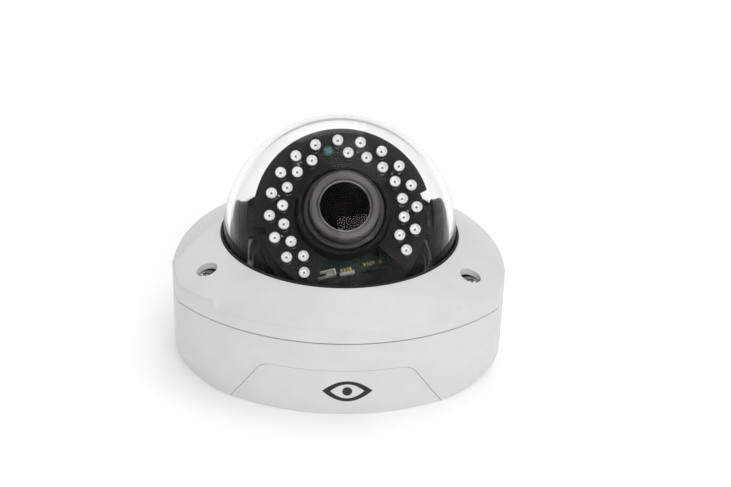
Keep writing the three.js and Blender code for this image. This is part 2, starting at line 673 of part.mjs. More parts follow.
part('dome_gasket', turned([
  [DOME_RADIUS + GAP, GASKET_TOP - GASKET_THICKNESS],
  [FLANGE_RADIUS, GASKET_TOP - GASKET_THICKNESS],
  [FLANGE_RADIUS, GASKET_TOP],
  [DOME_RADIUS + GAP + GASKET_LIP, GASKET_TOP],
  [DOME_RADIUS + GAP + GASKET_LIP, OPENING_Z + 0.1],
  [DOME_RADIUS + GAP, OPENING_Z + 0.1],
], LARGE), RUBBER);

function makeDome() {
  const inner = DOME_RADIUS - DOME_WALL;
  const steps = 7;
  const arc = (radius, i) => {
    const angle = (Math.PI / 2) * (i / steps);
    return [radius * Math.cos(angle), DOME_CENTRE_Z + radius * Math.sin(angle)];
  };
  const profile = [[0, DOME_CENTRE_Z + inner]];
  for (let i = steps - 1; i >= 0; i -= 1) profile.push(arc(inner, i));
  profile.push([inner, FLANGE_TOP - FLANGE_THICKNESS]);
  profile.push([FLANGE_RADIUS, FLANGE_TOP - FLANGE_THICKNESS]);
  profile.push([FLANGE_RADIUS, FLANGE_TOP]);
  profile.push([DOME_RADIUS, FLANGE_TOP]);
  for (let i = 0; i < steps; i += 1) profile.push(arc(DOME_RADIUS, i));
  profile.push([0, DOME_CENTRE_Z + DOME_RADIUS]);
  return turned(profile, LARGE);
}
part('dome_bubble', makeDome(), CLEAR);

function makeClampRing() {
  const ring = tube(CLAMP_INNER, CLAMP_INNER + CLAMP_BAND, CLAMP_TOP - CLAMP_THICKNESS,
    CLAMP_TOP, LARGE);
  const lugs = CLAMP_SCREW_ANGLES.map((azimuth) =>
    block(-4, 4, -CLAMP_SCREW_CIRCLE - 3, -CLAMP_INNER - 3,
      CLAMP_TOP - CLAMP_THICKNESS, CLAMP_TOP).rotateZ(rad(azimuth)));
  const holes = CLAMP_SCREW_ANGLES.map((azimuth) => {
    const [x, y] = around(CLAMP_SCREW_CIRCLE, azimuth);
    return rod(FRAME_SCREW + GAP, 0, 60, TINY).translate(x, y, 0);
  });
  return cut(join(ring, ...lugs), ...holes);
}
part('dome_clamp_ring', makeClampRing(), BLACK_METAL);
CLAMP_SCREW_ANGLES.forEach((azimuth, i) => {
  const [x, y] = around(CLAMP_SCREW_CIRCLE, azimuth);
  part(`dome_clamp_screw_${i + 1}`, screw(2.7, 1.7, FRAME_SCREW, CLAMP_THICKNESS + 3)
    .rotateX(Math.PI)
    .translate(x, y, CLAMP_TOP - CLAMP_THICKNESS - GAP), STEEL);
});

// captive cover screws with a six-lobe recess round a centre pin
function makeCoverScrew() {
  const head = turned([
    [0, SCREW_TIP_Z],
    [SCREW_SHANK_RADIUS * 0.6, SCREW_TIP_Z],
    [SCREW_SHANK_RADIUS, SCREW_TIP_Z + 1],
    [SCREW_SHANK_RADIUS, POCKET_FLOOR_Z + GAP],
    [SCREW_HEAD_RADIUS, POCKET_FLOOR_Z + GAP],
    [SCREW_HEAD_RADIUS, POCKET_FLOOR_Z + GAP + SCREW_HEAD_HEIGHT * 0.45],
    [SCREW_HEAD_RADIUS * 0.8, POCKET_FLOOR_Z + GAP + SCREW_HEAD_HEIGHT * 0.85],
    [SCREW_HEAD_RADIUS * 0.55, POCKET_FLOOR_Z + GAP + SCREW_HEAD_HEIGHT],
    [0, POCKET_FLOOR_Z + GAP + SCREW_HEAD_HEIGHT],
  ], SMALL);
  const recess = tube(0.7, 2.1, POCKET_FLOOR_Z + GAP + SCREW_HEAD_HEIGHT * 0.35,
    POCKET_FLOOR_Z + SCREW_HEAD_HEIGHT + EPS + GAP, 6);
  return cut(head, recess);
}
corners.forEach((azimuth, i) => {
  const [x, y] = around(SCREW_CIRCLE, azimuth);
  part(`cover_screw_${i + 1}`, makeCoverScrew().translate(x, y, 0), STEEL);
});

// ---------------------------------------------------------------- pan ring and arms
const LOCK_Y = RING_INNER + 3.8;
part('pan_ring', cut(
  tube(RING_INNER, RING_OUTER, PAN_Z, PAN_TOP, LARGE),
  rod(1.6 + GAP, 0, 60, TINY).translate(0, LOCK_Y, 0),
), BLACK_PLASTIC, panGroup);
part('pan_lock_screw', screw(2.9, 3, 1.6, PAN_THICKNESS)
  .translate(0, LOCK_Y, PAN_TOP + GAP), STEEL, panGroup);

const ARM_OUTER_X = ARM_INNER_X + ARM_THICKNESS;
const FOOT_REACH = 2.6;
const LOCK_HOLE_Z = TILT_Z - 8.6;

function makeArm(side) {
  const outline = new THREE.Shape();
  outline.moveTo(-ARM_HALF, ARM_FOOT_Z);
  outline.lineTo(ARM_HALF, ARM_FOOT_Z);
  outline.lineTo(ARM_HALF, ARM_TOP - ARM_HALF);
  outline.absarc(0, ARM_TOP - ARM_HALF, ARM_HALF, 0, Math.PI);
  // the outline's x becomes the arm's y and its y becomes the height
  const arm = plate(outline, ARM_INNER_X, ARM_OUTER_X, 8)
    .rotateX(Math.PI / 2)
    .rotateZ(Math.PI / 2);
  const foot = block(ARM_OUTER_X - 1, ARM_OUTER_X + FOOT_REACH, -ARM_HALF, ARM_HALF,
    ARM_FOOT_Z, ARM_FOOT_Z + 2);
  const holes = [[0, TILT_Z, PIVOT_RADIUS + GAP], [0, LOCK_HOLE_Z, FRAME_SCREW + GAP]]
    .map(([y, z, r]) => rod(r, ARM_INNER_X - EPS, ARM_OUTER_X + EPS, TINY)
      .rotateY(Math.PI / 2)
      .translate(0, y, z));
  const whole = cut(join(arm, foot), ...holes);
  return side > 0 ? whole : whole.rotateZ(Math.PI);
}
[['left', -1], ['right', 1]].forEach(([label, side]) => {
  part(`yoke_arm_${label}`, makeArm(side), BLACK_PLASTIC, panGroup);
  // the lock screw ends inside the arm's wall
  const lock = screw(2.4, 1.6, FRAME_SCREW, ARM_THICKNESS - 0.4)
    .rotateY(Math.PI / 2)
    .translate(ARM_OUTER_X + GAP, 0, LOCK_HOLE_Z);
  part(`tilt_lock_screw_${label}`, side > 0 ? lock : lock.rotateZ(Math.PI), STEEL, panGroup);
});

// ---------------------------------------------------------------- tilting cradle
const SEAT_THICKNESS = 2.2;
const CHEEK_RADIUS = 6.5;
const CHEEK_PLAY = 0.4;           // between the cheeks and the arms
const CHEEK_OUTER = ARM_INNER_X - CHEEK_PLAY;
const CHEEK_INNER = CHEEK_OUTER - CHEEK_THICKNESS;
const PIVOT_TIP = PIVOT_RADIUS - 0.6;
const RETAINER_THICKNESS = 1.4;
const RETAINER_SCREW = 1;
const RETAINER_Z = CARRIER_Z + CARRIER_THICKNESS + GAP;
const RETAINER_SCREWS = [0, 120, 240];
const RETAINER_CIRCLE = CARRIER_RADIUS + 2.9;
const SEAT_INNER = CARRIER_RADIUS - CARRIER_LAP;

function makeCradle() {
  const ring = turned([
    [SEAT_INNER, CARRIER_Z - GAP - SEAT_THICKNESS],
    [CRADLE_RADIUS, CARRIER_Z - GAP - SEAT_THICKNESS],
    [CRADLE_RADIUS, RETAINER_Z - GAP],
    [CARRIER_RADIUS + GAP, RETAINER_Z - GAP],
    [CARRIER_RADIUS + GAP, CARRIER_Z - GAP],
    [SEAT_INNER, CARRIER_Z - GAP],
  ], LARGE);
  const cheeks = [-1, 1].map((side) => {
    const cheek = rod(CHEEK_RADIUS, CHEEK_INNER, CHEEK_OUTER, SMALL).rotateY(Math.PI / 2);
    const web = block(CRADLE_RADIUS - 4, CHEEK_OUTER, -CHEEK_RADIUS, CHEEK_RADIUS,
      CARRIER_Z - GAP - SEAT_THICKNESS, RETAINER_Z - GAP);
    const whole = join(cheek, cut(web, rod(CARRIER_RADIUS + GAP, -20, 20, LARGE)));
    return side > 0 ? whole : whole.rotateZ(Math.PI);
  });
  const bores = rod(PIVOT_TIP + GAP, -60, 60, TINY).rotateY(Math.PI / 2);
  const taps = RETAINER_SCREWS.map((azimuth) => {
    const [x, y] = around(RETAINER_CIRCLE, azimuth);
    return rod(RETAINER_SCREW + GAP, RETAINER_Z - 3.5, RETAINER_Z + EPS, TINY).translate(x, y, 0);
  });
  const clearCarrier = rod(CARRIER_RADIUS + GAP, CARRIER_Z - GAP, 30, LARGE);
  return cut(join(ring, ...cheeks), bores, clearCarrier, rod(SEAT_INNER, -30, 30, LARGE), ...taps);
}
part('tilt_cradle', makeCradle(), BLACK_METAL, tiltGroup);

part('rotation_retainer', cut(
  tube(CARRIER_RADIUS - 1.6, CRADLE_RADIUS, RETAINER_Z, RETAINER_Z + RETAINER_THICKNESS, LARGE),
  ...RETAINER_SCREWS.map((azimuth) => {
    const [x, y] = around(RETAINER_CIRCLE, azimuth);
    return rod(RETAINER_SCREW + GAP, 0, 30, TINY).translate(x, y, 0);
  }),
), BLACK_PLASTIC, tiltGroup);
RETAINER_SCREWS.forEach((azimuth, i) => {
  const [x, y] = around(RETAINER_CIRCLE, azimuth);
  part(`retainer_screw_${i + 1}`, screw(1.9, 1.2, RETAINER_SCREW, 4)
    .translate(x, y, RETAINER_Z + RETAINER_THICKNESS + GAP), STEEL, tiltGroup);
});

// Tilt pivots: a stepped pin from outside, through the arm, into the cheek.
function makePivot(side) {
  const knobFace = ARM_OUTER_X + GAP;
  const pivot = turned([
    [0, CHEEK_INNER],
    [PIVOT_TIP, CHEEK_INNER],
    [PIVOT_TIP, ARM_INNER_X - 0.1],
    [PIVOT_RADIUS, ARM_INNER_X - 0.1],
    [PIVOT_RADIUS, knobFace],
    [5.5, knobFace],
    [5.5, knobFace + 1],
    [4.2, knobFace + 2.2],
    [0, knobFace + 2.2],
  ], SMALL).rotateY(Math.PI / 2);
  return side > 0 ? pivot : pivot.rotateZ(Math.PI);
}
part('tilt_pivot_left', makePivot(-1), BLACK_PLASTIC, tiltGroup);
part('tilt_pivot_right', makePivot(1), BLACK_PLASTIC, tiltGroup);

// ---------------------------------------------------------------- camera module
const POSTS = [[-1, 1], [1, 1], [-1, -1], [1, -1]]
  .map(([x, y]) => [x * POST_OFFSET, y * POST_OFFSET]);

// Window in front of the main board's lower edge, wide below the standoffs and narrow between them.
function makeWindowCutter() {
  const land = POST_RADIUS + GAP + POST_LAND;
  const wide = block(-WINDOW_HALF_WIDTH, WINDOW_HALF_WIDTH, -CARRIER_RADIUS, -POST_OFFSET - land,
    CARRIER_Z - EPS, CARRIER_Z + CARRIER_THICKNESS + EPS);
  const narrow = block(-POST_OFFSET + land, POST_OFFSET - land, -CARRIER_RADIUS, -LENS_RADIUS,
    CARRIER_Z - EPS, CARRIER_Z + CARRIER_THICKNESS + EPS);
  return common(join(wide, narrow), rod(CARRIER_RADIUS - CARRIER_RIM, 0, 12, LARGE));
}
part('module_carrier', cut(
  tube(CARRIER_BORE, CARRIER_RADIUS, CARRIER_Z, CARRIER_Z + CARRIER_THICKNESS, LARGE),
  makeWindowCutter(),
  ...POSTS.map(([x, y]) => rod(POST_RADIUS + GAP, 0, 12, TINY).translate(x, y, 0)),
), BLACK_PLASTIC, moduleGroup);

const LED_BACK = LED_BOARD_Z - PCB_THICKNESS;
POSTS.forEach(([x, y], i) => {
  part(`board_standoff_${i + 1}`, rod(POST_RADIUS, PCB_Z + GAP, LED_BACK - GAP, TINY)
    .translate(x, y, 0), BRASS, moduleGroup);
});

// Angles on the lamp board are measured clockwise from its top, seen from in front.
const onBoard = (radius, angle) => [radius * sin(angle), radius * cos(angle)];

const SENSOR = { radius: 2.3, height: 3.2, outside: 1.9 };   // it sits outside the inner circle

function makeLedBoard() {
  const outline = new THREE.Shape();
  const notch = 4;
  const toMath = (angle) => rad(90 - angle);
  outline.absarc(0, 0, LED_BOARD_RADIUS, toMath(-90 + notch), toMath(90 - notch), true);
  outline.lineTo(LED_BOARD_LOWER_RADIUS - 2, 1.5);
  outline.lineTo(LED_BOARD_LOWER_RADIUS - 2, -1.5);
  outline.lineTo(...onBoard(LED_BOARD_LOWER_RADIUS, 90 + notch));
  outline.absarc(0, 0, LED_BOARD_LOWER_RADIUS, toMath(90 + notch), toMath(LED_BOARD_OPEN), true);
  outline.lineTo(...onBoard(LED_BOARD_BORE, LED_BOARD_OPEN));
  outline.absarc(0, 0, LED_BOARD_BORE, toMath(LED_BOARD_OPEN), toMath(-LED_BOARD_OPEN), false);
  outline.lineTo(...onBoard(LED_BOARD_LOWER_RADIUS, -LED_BOARD_OPEN));
  outline.absarc(0, 0, LED_BOARD_LOWER_RADIUS,
    toMath(-LED_BOARD_OPEN), toMath(-90 - notch), true);
  outline.lineTo(-LED_BOARD_LOWER_RADIUS + 2, -1.5);
  outline.lineTo(-LED_BOARD_LOWER_RADIUS + 2, 1.5);
  const board = plate(outline, LED_BACK, LED_BOARD_Z, MEDIUM);
  const lamps = [];
  const lamp = ([x, y]) => turned([
    [0, LED_BOARD_Z - 0.5],
    [LED_RADIUS, LED_BOARD_Z - 0.5],
    [LED_RADIUS, LED_BOARD_Z + LED_HEIGHT - 1.5],
    [0, LED_BOARD_Z + LED_HEIGHT],
  ], 6).translate(x, y, 0);
  for (let i = 0; i < 8; i += 1) {
    const outer = LED_STEP / 2 + LED_STEP * i;
    lamps.push(lamp(onBoard(LED_OUTER_CIRCLE, outer)), lamp(onBoard(LED_OUTER_CIRCLE, -outer)));
  }
  for (let i = 1; i < 8; i += 1) {
    const inner = LED_STEP * i;
    lamps.push(lamp(onBoard(LED_INNER_CIRCLE, inner)), lamp(onBoard(LED_INNER_CIRCLE, -inner)));
  }
  return join(board, ...lamps);
}
part('ir_led_board', makeLedBoard(), BOARD_BLACK, moduleGroup);

part('light_sensor', rod(SENSOR.radius, LED_BOARD_Z + GAP, LED_BOARD_Z + SENSOR.height, TINY)
  .translate(...onBoard(LED_INNER_CIRCLE + SENSOR.outside, 0), 0), SENSOR_TEAL, moduleGroup);

part('foam_shroud', tube(SHROUD_INNER, SHROUD_OUTER, LED_BACK - 2.5, LED_BOARD_Z + 8.5, MEDIUM),
  RUBBER, moduleGroup);

// ---------------------------------------------------------------- main board
const half = PCB_SIZE / 2;
part('main_board', cut(
  block(-half, half, -half - PCB_DROP, half, PCB_Z - PCB_THICKNESS, PCB_Z),
  ...[[-1, 0], [1, 0]].map(([x, y]) => rod(1.1, -20, 0, TINY).translate(x * 16, y, 0)),
), BOARD_GREEN, moduleGroup);
part('image_sensor', block(-5, 5, -4.5, 4.5, PCB_Z + GAP, PCB_Z + 1.7), BLACK_PLASTIC, moduleGroup);
const CONNECTOR = { x: -10.6, width: 8.5, depth: 3, height: 5, edge: 0.3 };
part('board_connector', block(
  CONNECTOR.x - CONNECTOR.width / 2, CONNECTOR.x + CONNECTOR.width / 2,
  -half - PCB_DROP + CONNECTOR.edge, -half - PCB_DROP + CONNECTOR.edge + CONNECTOR.depth,
  PCB_Z + GAP, PCB_Z + CONNECTOR.height,
), CREAM, moduleGroup);
part('lens_mount', cut(
  join(
    block(-11, 11, -8, 8, PCB_Z + GAP, PCB_Z + 4),
    rod(LENS_RADIUS - 1.5, PCB_Z + 3, LENS_BODY_BACK - GAP, MEDIUM),
  ),
  rod(LENS_RADIUS - 4.5, PCB_Z + 4, LENS_BODY_BACK + EPS, SMALL),
  block(-6.5, 6.5, -6, 6, PCB_Z, PCB_Z + 5),
), BLACK_PLASTIC, moduleGroup);

// ---------------------------------------------------------------- lens
part('lens_body', turned([
  [BODY_BORE, LENS_BODY_BACK],
  [LENS_RADIUS, LENS_BODY_BACK],
  [LENS_RADIUS, LENS_BODY_FRONT],
  [SLEEVE_RADIUS + GAP, LENS_BODY_FRONT],
  [SLEEVE_RADIUS + GAP, LENS_BODY_FRONT - 8],
  [BODY_BORE, LENS_BODY_FRONT - 8],
], MEDIUM), BLACK_METAL, moduleGroup);
part('rear_lens', turned([
  [0, 5],
  [BODY_BORE - 0.8, 6],
  [BODY_BORE - GAP, 6],
  [BODY_BORE - GAP, 8],
  [BODY_BORE - 0.8, 8],
  [0, 9.4],
], SMALL), CLEAR, moduleGroup);

// grip rings with a flat lock screw each
function gripRing(outer, bottom, top, hole) {
  const ribs = 30;
  const shape = new THREE.Shape();
  for (let i = 0; i < ribs * 2; i += 1) {
    const angle = (Math.PI * i) / ribs;
    const r = i % 2 ? outer : outer - 0.5;
    const point = [r * Math.cos(angle), r * Math.sin(angle)];
    if (i === 0) shape.moveTo(...point);
    else shape.lineTo(...point);
  }
  shape.closePath();
  return cut(
    plate(shape, bottom, top, 1),
    rod(LENS_RADIUS + GAP, bottom - EPS, top + EPS, LARGE),
    rod(1.1 + GAP, LENS_RADIUS, outer + EPS, TINY)
      .rotateY(Math.PI / 2)
      .rotateZ(rad(hole))
      .translate(0, 0, (bottom + top) / 2),
  );
}
const lockScrew = (outer, z, angle) => screw(1.9, 3.2, 1.1, outer - LENS_RADIUS - 0.7)
  .rotateY(Math.PI / 2)
  .translate(outer + GAP, 0, z)
  .rotateZ(rad(angle));

const FOCUS = { bottom: 20.2, top: 27 };
const ZOOM = { bottom: 9, top: 15.5, angle: -120 };
part('focus_ring', tube(LENS_RADIUS + GAP, RING_GRIP_RADIUS, FOCUS.bottom, FOCUS.top, LARGE),
  LENS_GREY, moduleGroup);
part('zoom_ring', gripRing(ZOOM_GRIP_RADIUS, ZOOM.bottom, ZOOM.top, ZOOM.angle),
  LENS_GREY, moduleGroup);
part('zoom_lock_screw', lockScrew(ZOOM_GRIP_RADIUS, (ZOOM.bottom + ZOOM.top) / 2, ZOOM.angle),
  STEEL, moduleGroup);

part('front_barrel', turned([
  [SLEEVE_RADIUS - 2.2, LENS_BODY_FRONT - 6],
  [SLEEVE_RADIUS, LENS_BODY_FRONT - 6],
  [SLEEVE_RADIUS, FRONT_BACK + 1.2],
  [LENS_RADIUS, FRONT_BACK + 1.2],
  [LENS_RADIUS, FRONT_FACE - 0.5],
  [LENS_RADIUS - 0.6, FRONT_FACE],
  [GLASS_RADIUS + 1.4, FRONT_FACE],
  [GLASS_RADIUS + 0.8, FRONT_FACE - 1.2],
  [GLASS_RADIUS + 0.8, FRONT_FACE - 4.5],
  [SLEEVE_RADIUS - 2.2, FRONT_FACE - 4.5],
], LARGE), LENS_GREY, moduleGroup);
part('front_lens', turned([
  [0, FRONT_FACE - 4.1],
  [GLASS_RADIUS - 0.6, FRONT_FACE - 4.1],
  [GLASS_RADIUS + 0.4, FRONT_FACE - 3.6],
  [GLASS_RADIUS + 0.4, FRONT_FACE - 2.9],
  [GLASS_RADIUS * 0.72, FRONT_FACE - 1.7],
  [GLASS_RADIUS * 0.38, FRONT_FACE - 1.0],
  [0, FRONT_FACE - 0.8],
], MEDIUM), CLEAR, moduleGroup);

export default camera;
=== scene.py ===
"""Dome camera: detailed meshes, materials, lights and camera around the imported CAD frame.

Lengths in this script are millimetres, and every mesh is turned into metres when it is made.
"""
import math

import bmesh
import bpy
from mathutils import Matrix, Vector


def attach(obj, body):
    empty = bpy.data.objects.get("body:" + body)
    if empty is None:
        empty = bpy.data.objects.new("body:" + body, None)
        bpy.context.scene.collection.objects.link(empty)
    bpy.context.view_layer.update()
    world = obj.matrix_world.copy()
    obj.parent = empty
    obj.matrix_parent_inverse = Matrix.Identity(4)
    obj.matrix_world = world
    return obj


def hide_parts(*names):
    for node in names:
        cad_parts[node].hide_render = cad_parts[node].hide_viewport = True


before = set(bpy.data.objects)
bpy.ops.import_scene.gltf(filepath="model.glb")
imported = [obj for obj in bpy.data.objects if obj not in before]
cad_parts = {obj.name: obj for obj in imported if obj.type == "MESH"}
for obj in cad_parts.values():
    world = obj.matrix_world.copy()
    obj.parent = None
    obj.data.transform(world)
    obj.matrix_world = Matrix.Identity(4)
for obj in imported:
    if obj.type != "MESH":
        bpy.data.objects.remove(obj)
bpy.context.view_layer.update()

MM = 0.001
SOLVER = "MANIFOLD"

# ---------------- sizes
GAP = 0.3  # air between neighbours
HALF_WIDTH = 75.0
ARC_OFFSET = 17.85  # how far each wall's arc is centred behind the dome's axis
CORNER_ROUND = 2.5
BASE_HEIGHT = 34.8
WALL = 3.5
FLOOR = 3.5
FOOT_RADIUS = 76.2
FOOT_TRIM = 10.0
PANEL_DEPTH = 0.45
GROOVE_DEPTH = 0.45
GROOVE_WIDTH = 0.45
SEAM = 0.4
COVER_WALL = 2.8
OPENING_RADIUS = 54.1
OPENING_Z = 51.7
CONE_SLOPE = 0.32
FACET_CREASE = 54.0
FACET_END = 42.9
FACET_DROP = 3.9
SCREW_CIRCLE = 66.5
POCKET_RADIUS = 4.75
POCKET_FLOOR = 42.0
DOME_RADIUS = 52.9
DOME_WALL = 2.9
DOME_CENTRE = 51.8
FLANGE_RADIUS = 57.8
SEAT_Z = 47.0
SEAT_RADIUS = 58.6
TILT_Z = 55.0
PAN_REST = 4.6
ELEVATION_REST = 40.0
ROTATION_REST = 11.7
RING_INNER = 41.2
RING_OUTER = 48.5
GIMBAL_TOP = 36.5
ARM_INNER = 41.9
ARM_OUTER = 45.1
CARRIER_RADIUS = 33.0
CRADLE_RADIUS = 38.5
BOARD_FRONT = 19.0
BOARD_BACK = 17.4
PCB_FRONT = -10.0
LENS_RADIUS = 15.1
FRONT_FACE = 33.5
CORNERS = (60, 180, 300)  # azimuths of the three corners
CLAMP_CIRCLE = 62.0
CLAMP_AZIMUTHS = (80, 200, 320)
LEG_AZIMUTHS = (90, 210, 330)
RETAINER_CIRCLE = 35.9
RETAINER_AZIMUTHS = (0, 120, 240)
BOSS_RADIUS = 6.3
SCREW_HOLE = 2.4
BOARD_SCREW_X = 24
LOCK_DROP = 8.6  # from the tilt axis down to the lock screws
PAN_LOCK_Y = 45
ZOOM_KNOB_Z = 12.25
ARC_RADIUS = HALF_WIDTH + ARC_OFFSET * math.cos(math.radians(30))
COVER_BOTTOM = BASE_HEIGHT + SEAM


def sin(degrees):
    return math.sin(math.radians(degrees))


def cos(degrees):
    return math.cos(math.radians(degrees))


def around(radius, azimuth):
    """Point at a distance from the dome's axis. Azimuth 0 is the front, 90 the right side."""
    return radius * sin(azimuth), -radius * cos(azimuth)


# ---------------- frames of the moving groups
WORLD = Matrix.Identity(4)
PAN = Matrix.Rotation(math.radians(PAN_REST), 4, "Z")
TILT = PAN @ Matrix.Translation((0, 0, TILT_Z)) @ Matrix.Rotation(math.radians(90 - ELEVATION_REST), 4, "X")
MODULE = TILT @ Matrix.Rotation(math.radians(ROTATION_REST), 4, "Z")


def turn(axis, degrees):
    return Matrix.Rotation(math.radians(degrees), 4, axis)


def shift(x, y, z):
    return Matrix.Translation((x, y, z))


# ---------------- mesh helpers
def fillet(profile, steps=4, closed=False):
    """Rounds each corner given as (r, z, radius). Corners without a radius stay sharp."""
    points = []
    count = len(profile)
    for i, corner in enumerate(profile):
        here = Vector(corner[:2])
        end = not closed and i in (0, count - 1)
        if len(corner) < 3 or end:
            points.append(tuple(here))
            continue
        before = Vector(profile[i - 1][:2]) - here
        after = Vector(profile[(i + 1) % count][:2]) - here
        reach = 0.45 * min(before.length, after.length)
        angle = before.angle(after, math.pi) if before.length > 1e-6 and after.length > 1e-6 else math.pi
        length = min(corner[2] / max(math.tan(angle / 2), 0.05), reach)
        first = here + before.normalized() * length
        last = here + after.normalized() * length
        for k in range(steps + 1):
            t = k / steps
            points.append(tuple(first * (1 - t) ** 2 + here * 2 * t * (1 - t) + last * t ** 2))
    return points


def make_mesh(name, verts, faces):
    """Closed mesh in millimetres with its faces pointing out."""
    mesh = bpy.data.meshes.new(name)
    mesh.from_pydata([Vector(v) * MM for v in verts], [], faces)
    bm = bmesh.new()
    bm.from_mesh(mesh)
    bmesh.ops.remove_doubles(bm, verts=bm.verts, dist=1e-7)
    bmesh.ops.recalc_face_normals(bm, faces=bm.faces)
    bm.to_mesh(mesh)
    bm.free()
    obj = bpy.data.objects.new(name, mesh)
    bpy.context.scene.collection.objects.link(obj)
    return obj


def skin(name, columns, closed_profile):
    """Joins profiles placed round the axis, each a list of (x, y, z). Points on the axis are shared."""
    verts, ids = [], []
    rows = len(columns[0])
    shared = {j: None for j in range(rows)
              if all(abs(c[j][0]) < 1e-6 and abs(c[j][1]) < 1e-6 for c in columns)}
    for column in columns:
        line = []
        for j, point in enumerate(column):
            if j in shared:
                if shared[j] is None:
                    shared[j] = len(verts)
                    verts.append(point)
                line.append(shared[j])
            else:
                line.append(len(verts))
                verts.append(point)
        ids.append(line)
    faces = []
    steps = rows if closed_profile else rows - 1
    for i, line in enumerate(ids):
        other = ids[(i + 1) % len(ids)]
        for j in range(steps):
            k = (j + 1) % rows
            face = []
            for v in (line[j], other[j], other[k], line[k]):
                if v not in face:
                    face.append(v)
            if len(face) > 2:
                faces.append(face)
    return make_mesh(name, verts, faces)


def turned(name, profile, segments=96):
    """Profile of (radius, height[, fillet]) turned round Z. It closes on itself or on the axis."""
    on_axis = profile[0][0] == 0 and profile[-1][0] == 0
    points = fillet(profile, closed=not on_axis)
    columns = []
    for i in range(segments):
        angle = 360 * i / segments
        columns.append([(r * cos(angle), r * sin(angle), z) for r, z in points])
    return skin(name, columns, not on_axis)


def loft(name, profile_at, azimuths, closed=False):
    columns = []
    for azimuth in azimuths:
        points = fillet(profile_at(azimuth), closed=closed)
        columns.append([(*around(r, azimuth), z) for r, z in points])
    return skin(name, columns, closed)


def rod(name, radius, bottom, top, edge=0.2, segments=48):
    return turned(name, [(0, bottom), (radius, bottom, edge), (radius, top, edge), (0, top)], segments)


def tube(name, inner, outer, bottom, top, edge=0.25, segments=96):
    return turned(name, [(inner, bottom, edge), (outer, bottom, edge), (outer, top, edge),
                         (inner, top, edge)], segments)


def slab(name, outline, bottom, top):
    """Flat plate from a closed outline of (x, y)."""
    n = len(outline)
    verts = [(x, y, bottom) for x, y in outline] + [(x, y, top) for x, y in outline]
    faces = [list(range(n))[::-1], list(range(n, 2 * n))]
    faces += [[i, (i + 1) % n, n + (i + 1) % n, n + i] for i in range(n)]
    return make_mesh(name, verts, faces)


def block(name, x0, x1, y0, y1, z0, z1):
    return slab(name, [(x0, y0), (x1, y0), (x1, y1), (x0, y1)], z0, z1)


def arc(cx, cy, radius, start, end, steps=12):
    """Points of an arc, angles in degrees anticlockwise from +X."""
    return [(cx + radius * cos(start + (end - start) * i / steps),
             cy + radius * sin(start + (end - start) * i / steps)) for i in range(steps + 1)]


def rounded_block(x0, x1, y0, y1, r):
    """Outline of a rectangle with round corners."""
    return (arc(x1 - r, y0 + r, r, -90, 0, 6) + arc(x1 - r, y1 - r, r, 0, 90, 6)
            + arc(x0 + r, y1 - r, r, 90, 180, 6) + arc(x0 + r, y0 + r, r, 180, 270, 6))


def moved(obj, matrix):
    """Moves the mesh itself, with the matrix in millimetres."""
    metres = matrix.copy()
    metres.translation = matrix.translation * MM
    obj.data.transform(metres)
    return obj


def combine(obj, others, operation):
    """Joins or cuts with the other solids and removes them."""
    for other in others:
        step = obj.modifiers.new("cut", "BOOLEAN")
        step.operation = operation
        step.solver = SOLVER
        step.object = other
        graph = bpy.context.evaluated_depsgraph_get()
        result = bpy.data.meshes.new_from_object(obj.evaluated_get(graph))
        obj.modifiers.clear()
        old = obj.data
        obj.data = result
        bpy.data.meshes.remove(old)
        bpy.data.objects.remove(other)
    return obj


def cut(obj, *tools):
    return combine(obj, tools, "DIFFERENCE")


def join(obj, *others):
    return combine(obj, others, "UNION")


def common(obj, other):
    return combine(obj, [other], "INTERSECT")


def merge(name, objects):
    """One object from separate solids that stay separate."""
    bm = bmesh.new()
    for obj in objects:
        bm.from_mesh(obj.data)
        bpy.data.objects.remove(obj)
    mesh = bpy.data.meshes.new(name)
    bm.to_mesh(mesh)
    bm.free()
    result = bpy.data.objects.new(name, mesh)
    bpy.context.scene.collection.objects.link(result)
    return result


def soften(obj, width=0.25, segments=2, angle=38):
    """Small rounds on the edges that are sharper than the angle."""
    step = obj.modifiers.new("edges", "BEVEL")
    step.width = width * MM
    step.segments = segments
    step.limit_method = "ANGLE"
    step.angle_limit = math.radians(angle)
    step.harden_normals = True
    obj.data.shade_smooth()
    return obj


def swept(name, points, radius, sides=12):
    """Round wire along a smooth curve through the points."""
    path = []
    line = [Vector(p) for p in points]
    line = [2 * line[0] - line[1]] + line + [2 * line[-1] - line[-2]]
    for i in range(1, len(line) - 2):
        a, b, c, d = line[i - 1:i + 3]
        for k in range(8):
            t = k / 8
            path.append(0.5 * (2 * b + (c - a) * t + (2 * a - 5 * b + 4 * c - d) * t ** 2
                               + (3 * b - a - 3 * c + d) * t ** 3))
    path.append(line[-2])
    verts, faces = [], []
    side = Vector((0.31, 0.52, 0.8)).normalized()
    for i, point in enumerate(path):
        along = (path[min(i + 1, len(path) - 1)] - path[max(i - 1, 0)]).normalized()
        side = (side - along * side.dot(along)).normalized()
        other = along.cross(side)
        for k in range(sides):
            angle = 360 * k / sides
            verts.append(point + radius * (side * cos(angle) + other * sin(angle)))
    for i in range(len(path) - 1):
        for k in range(sides):
            n = (k + 1) % sides
            faces.append([i * sides + k, i * sides + n, (i + 1) * sides + n, (i + 1) * sides + k])
    faces.append(list(range(sides))[::-1])
    faces.append([(len(path) - 1) * sides + k for k in range(sides)])
    return make_mesh(name, verts, faces)


# ---------------- materials
def new_material(name):
    mat = bpy.data.materials.new(name)
    mat.use_nodes = True
    return mat, mat.node_tree, mat.node_tree.nodes["Principled BSDF"]


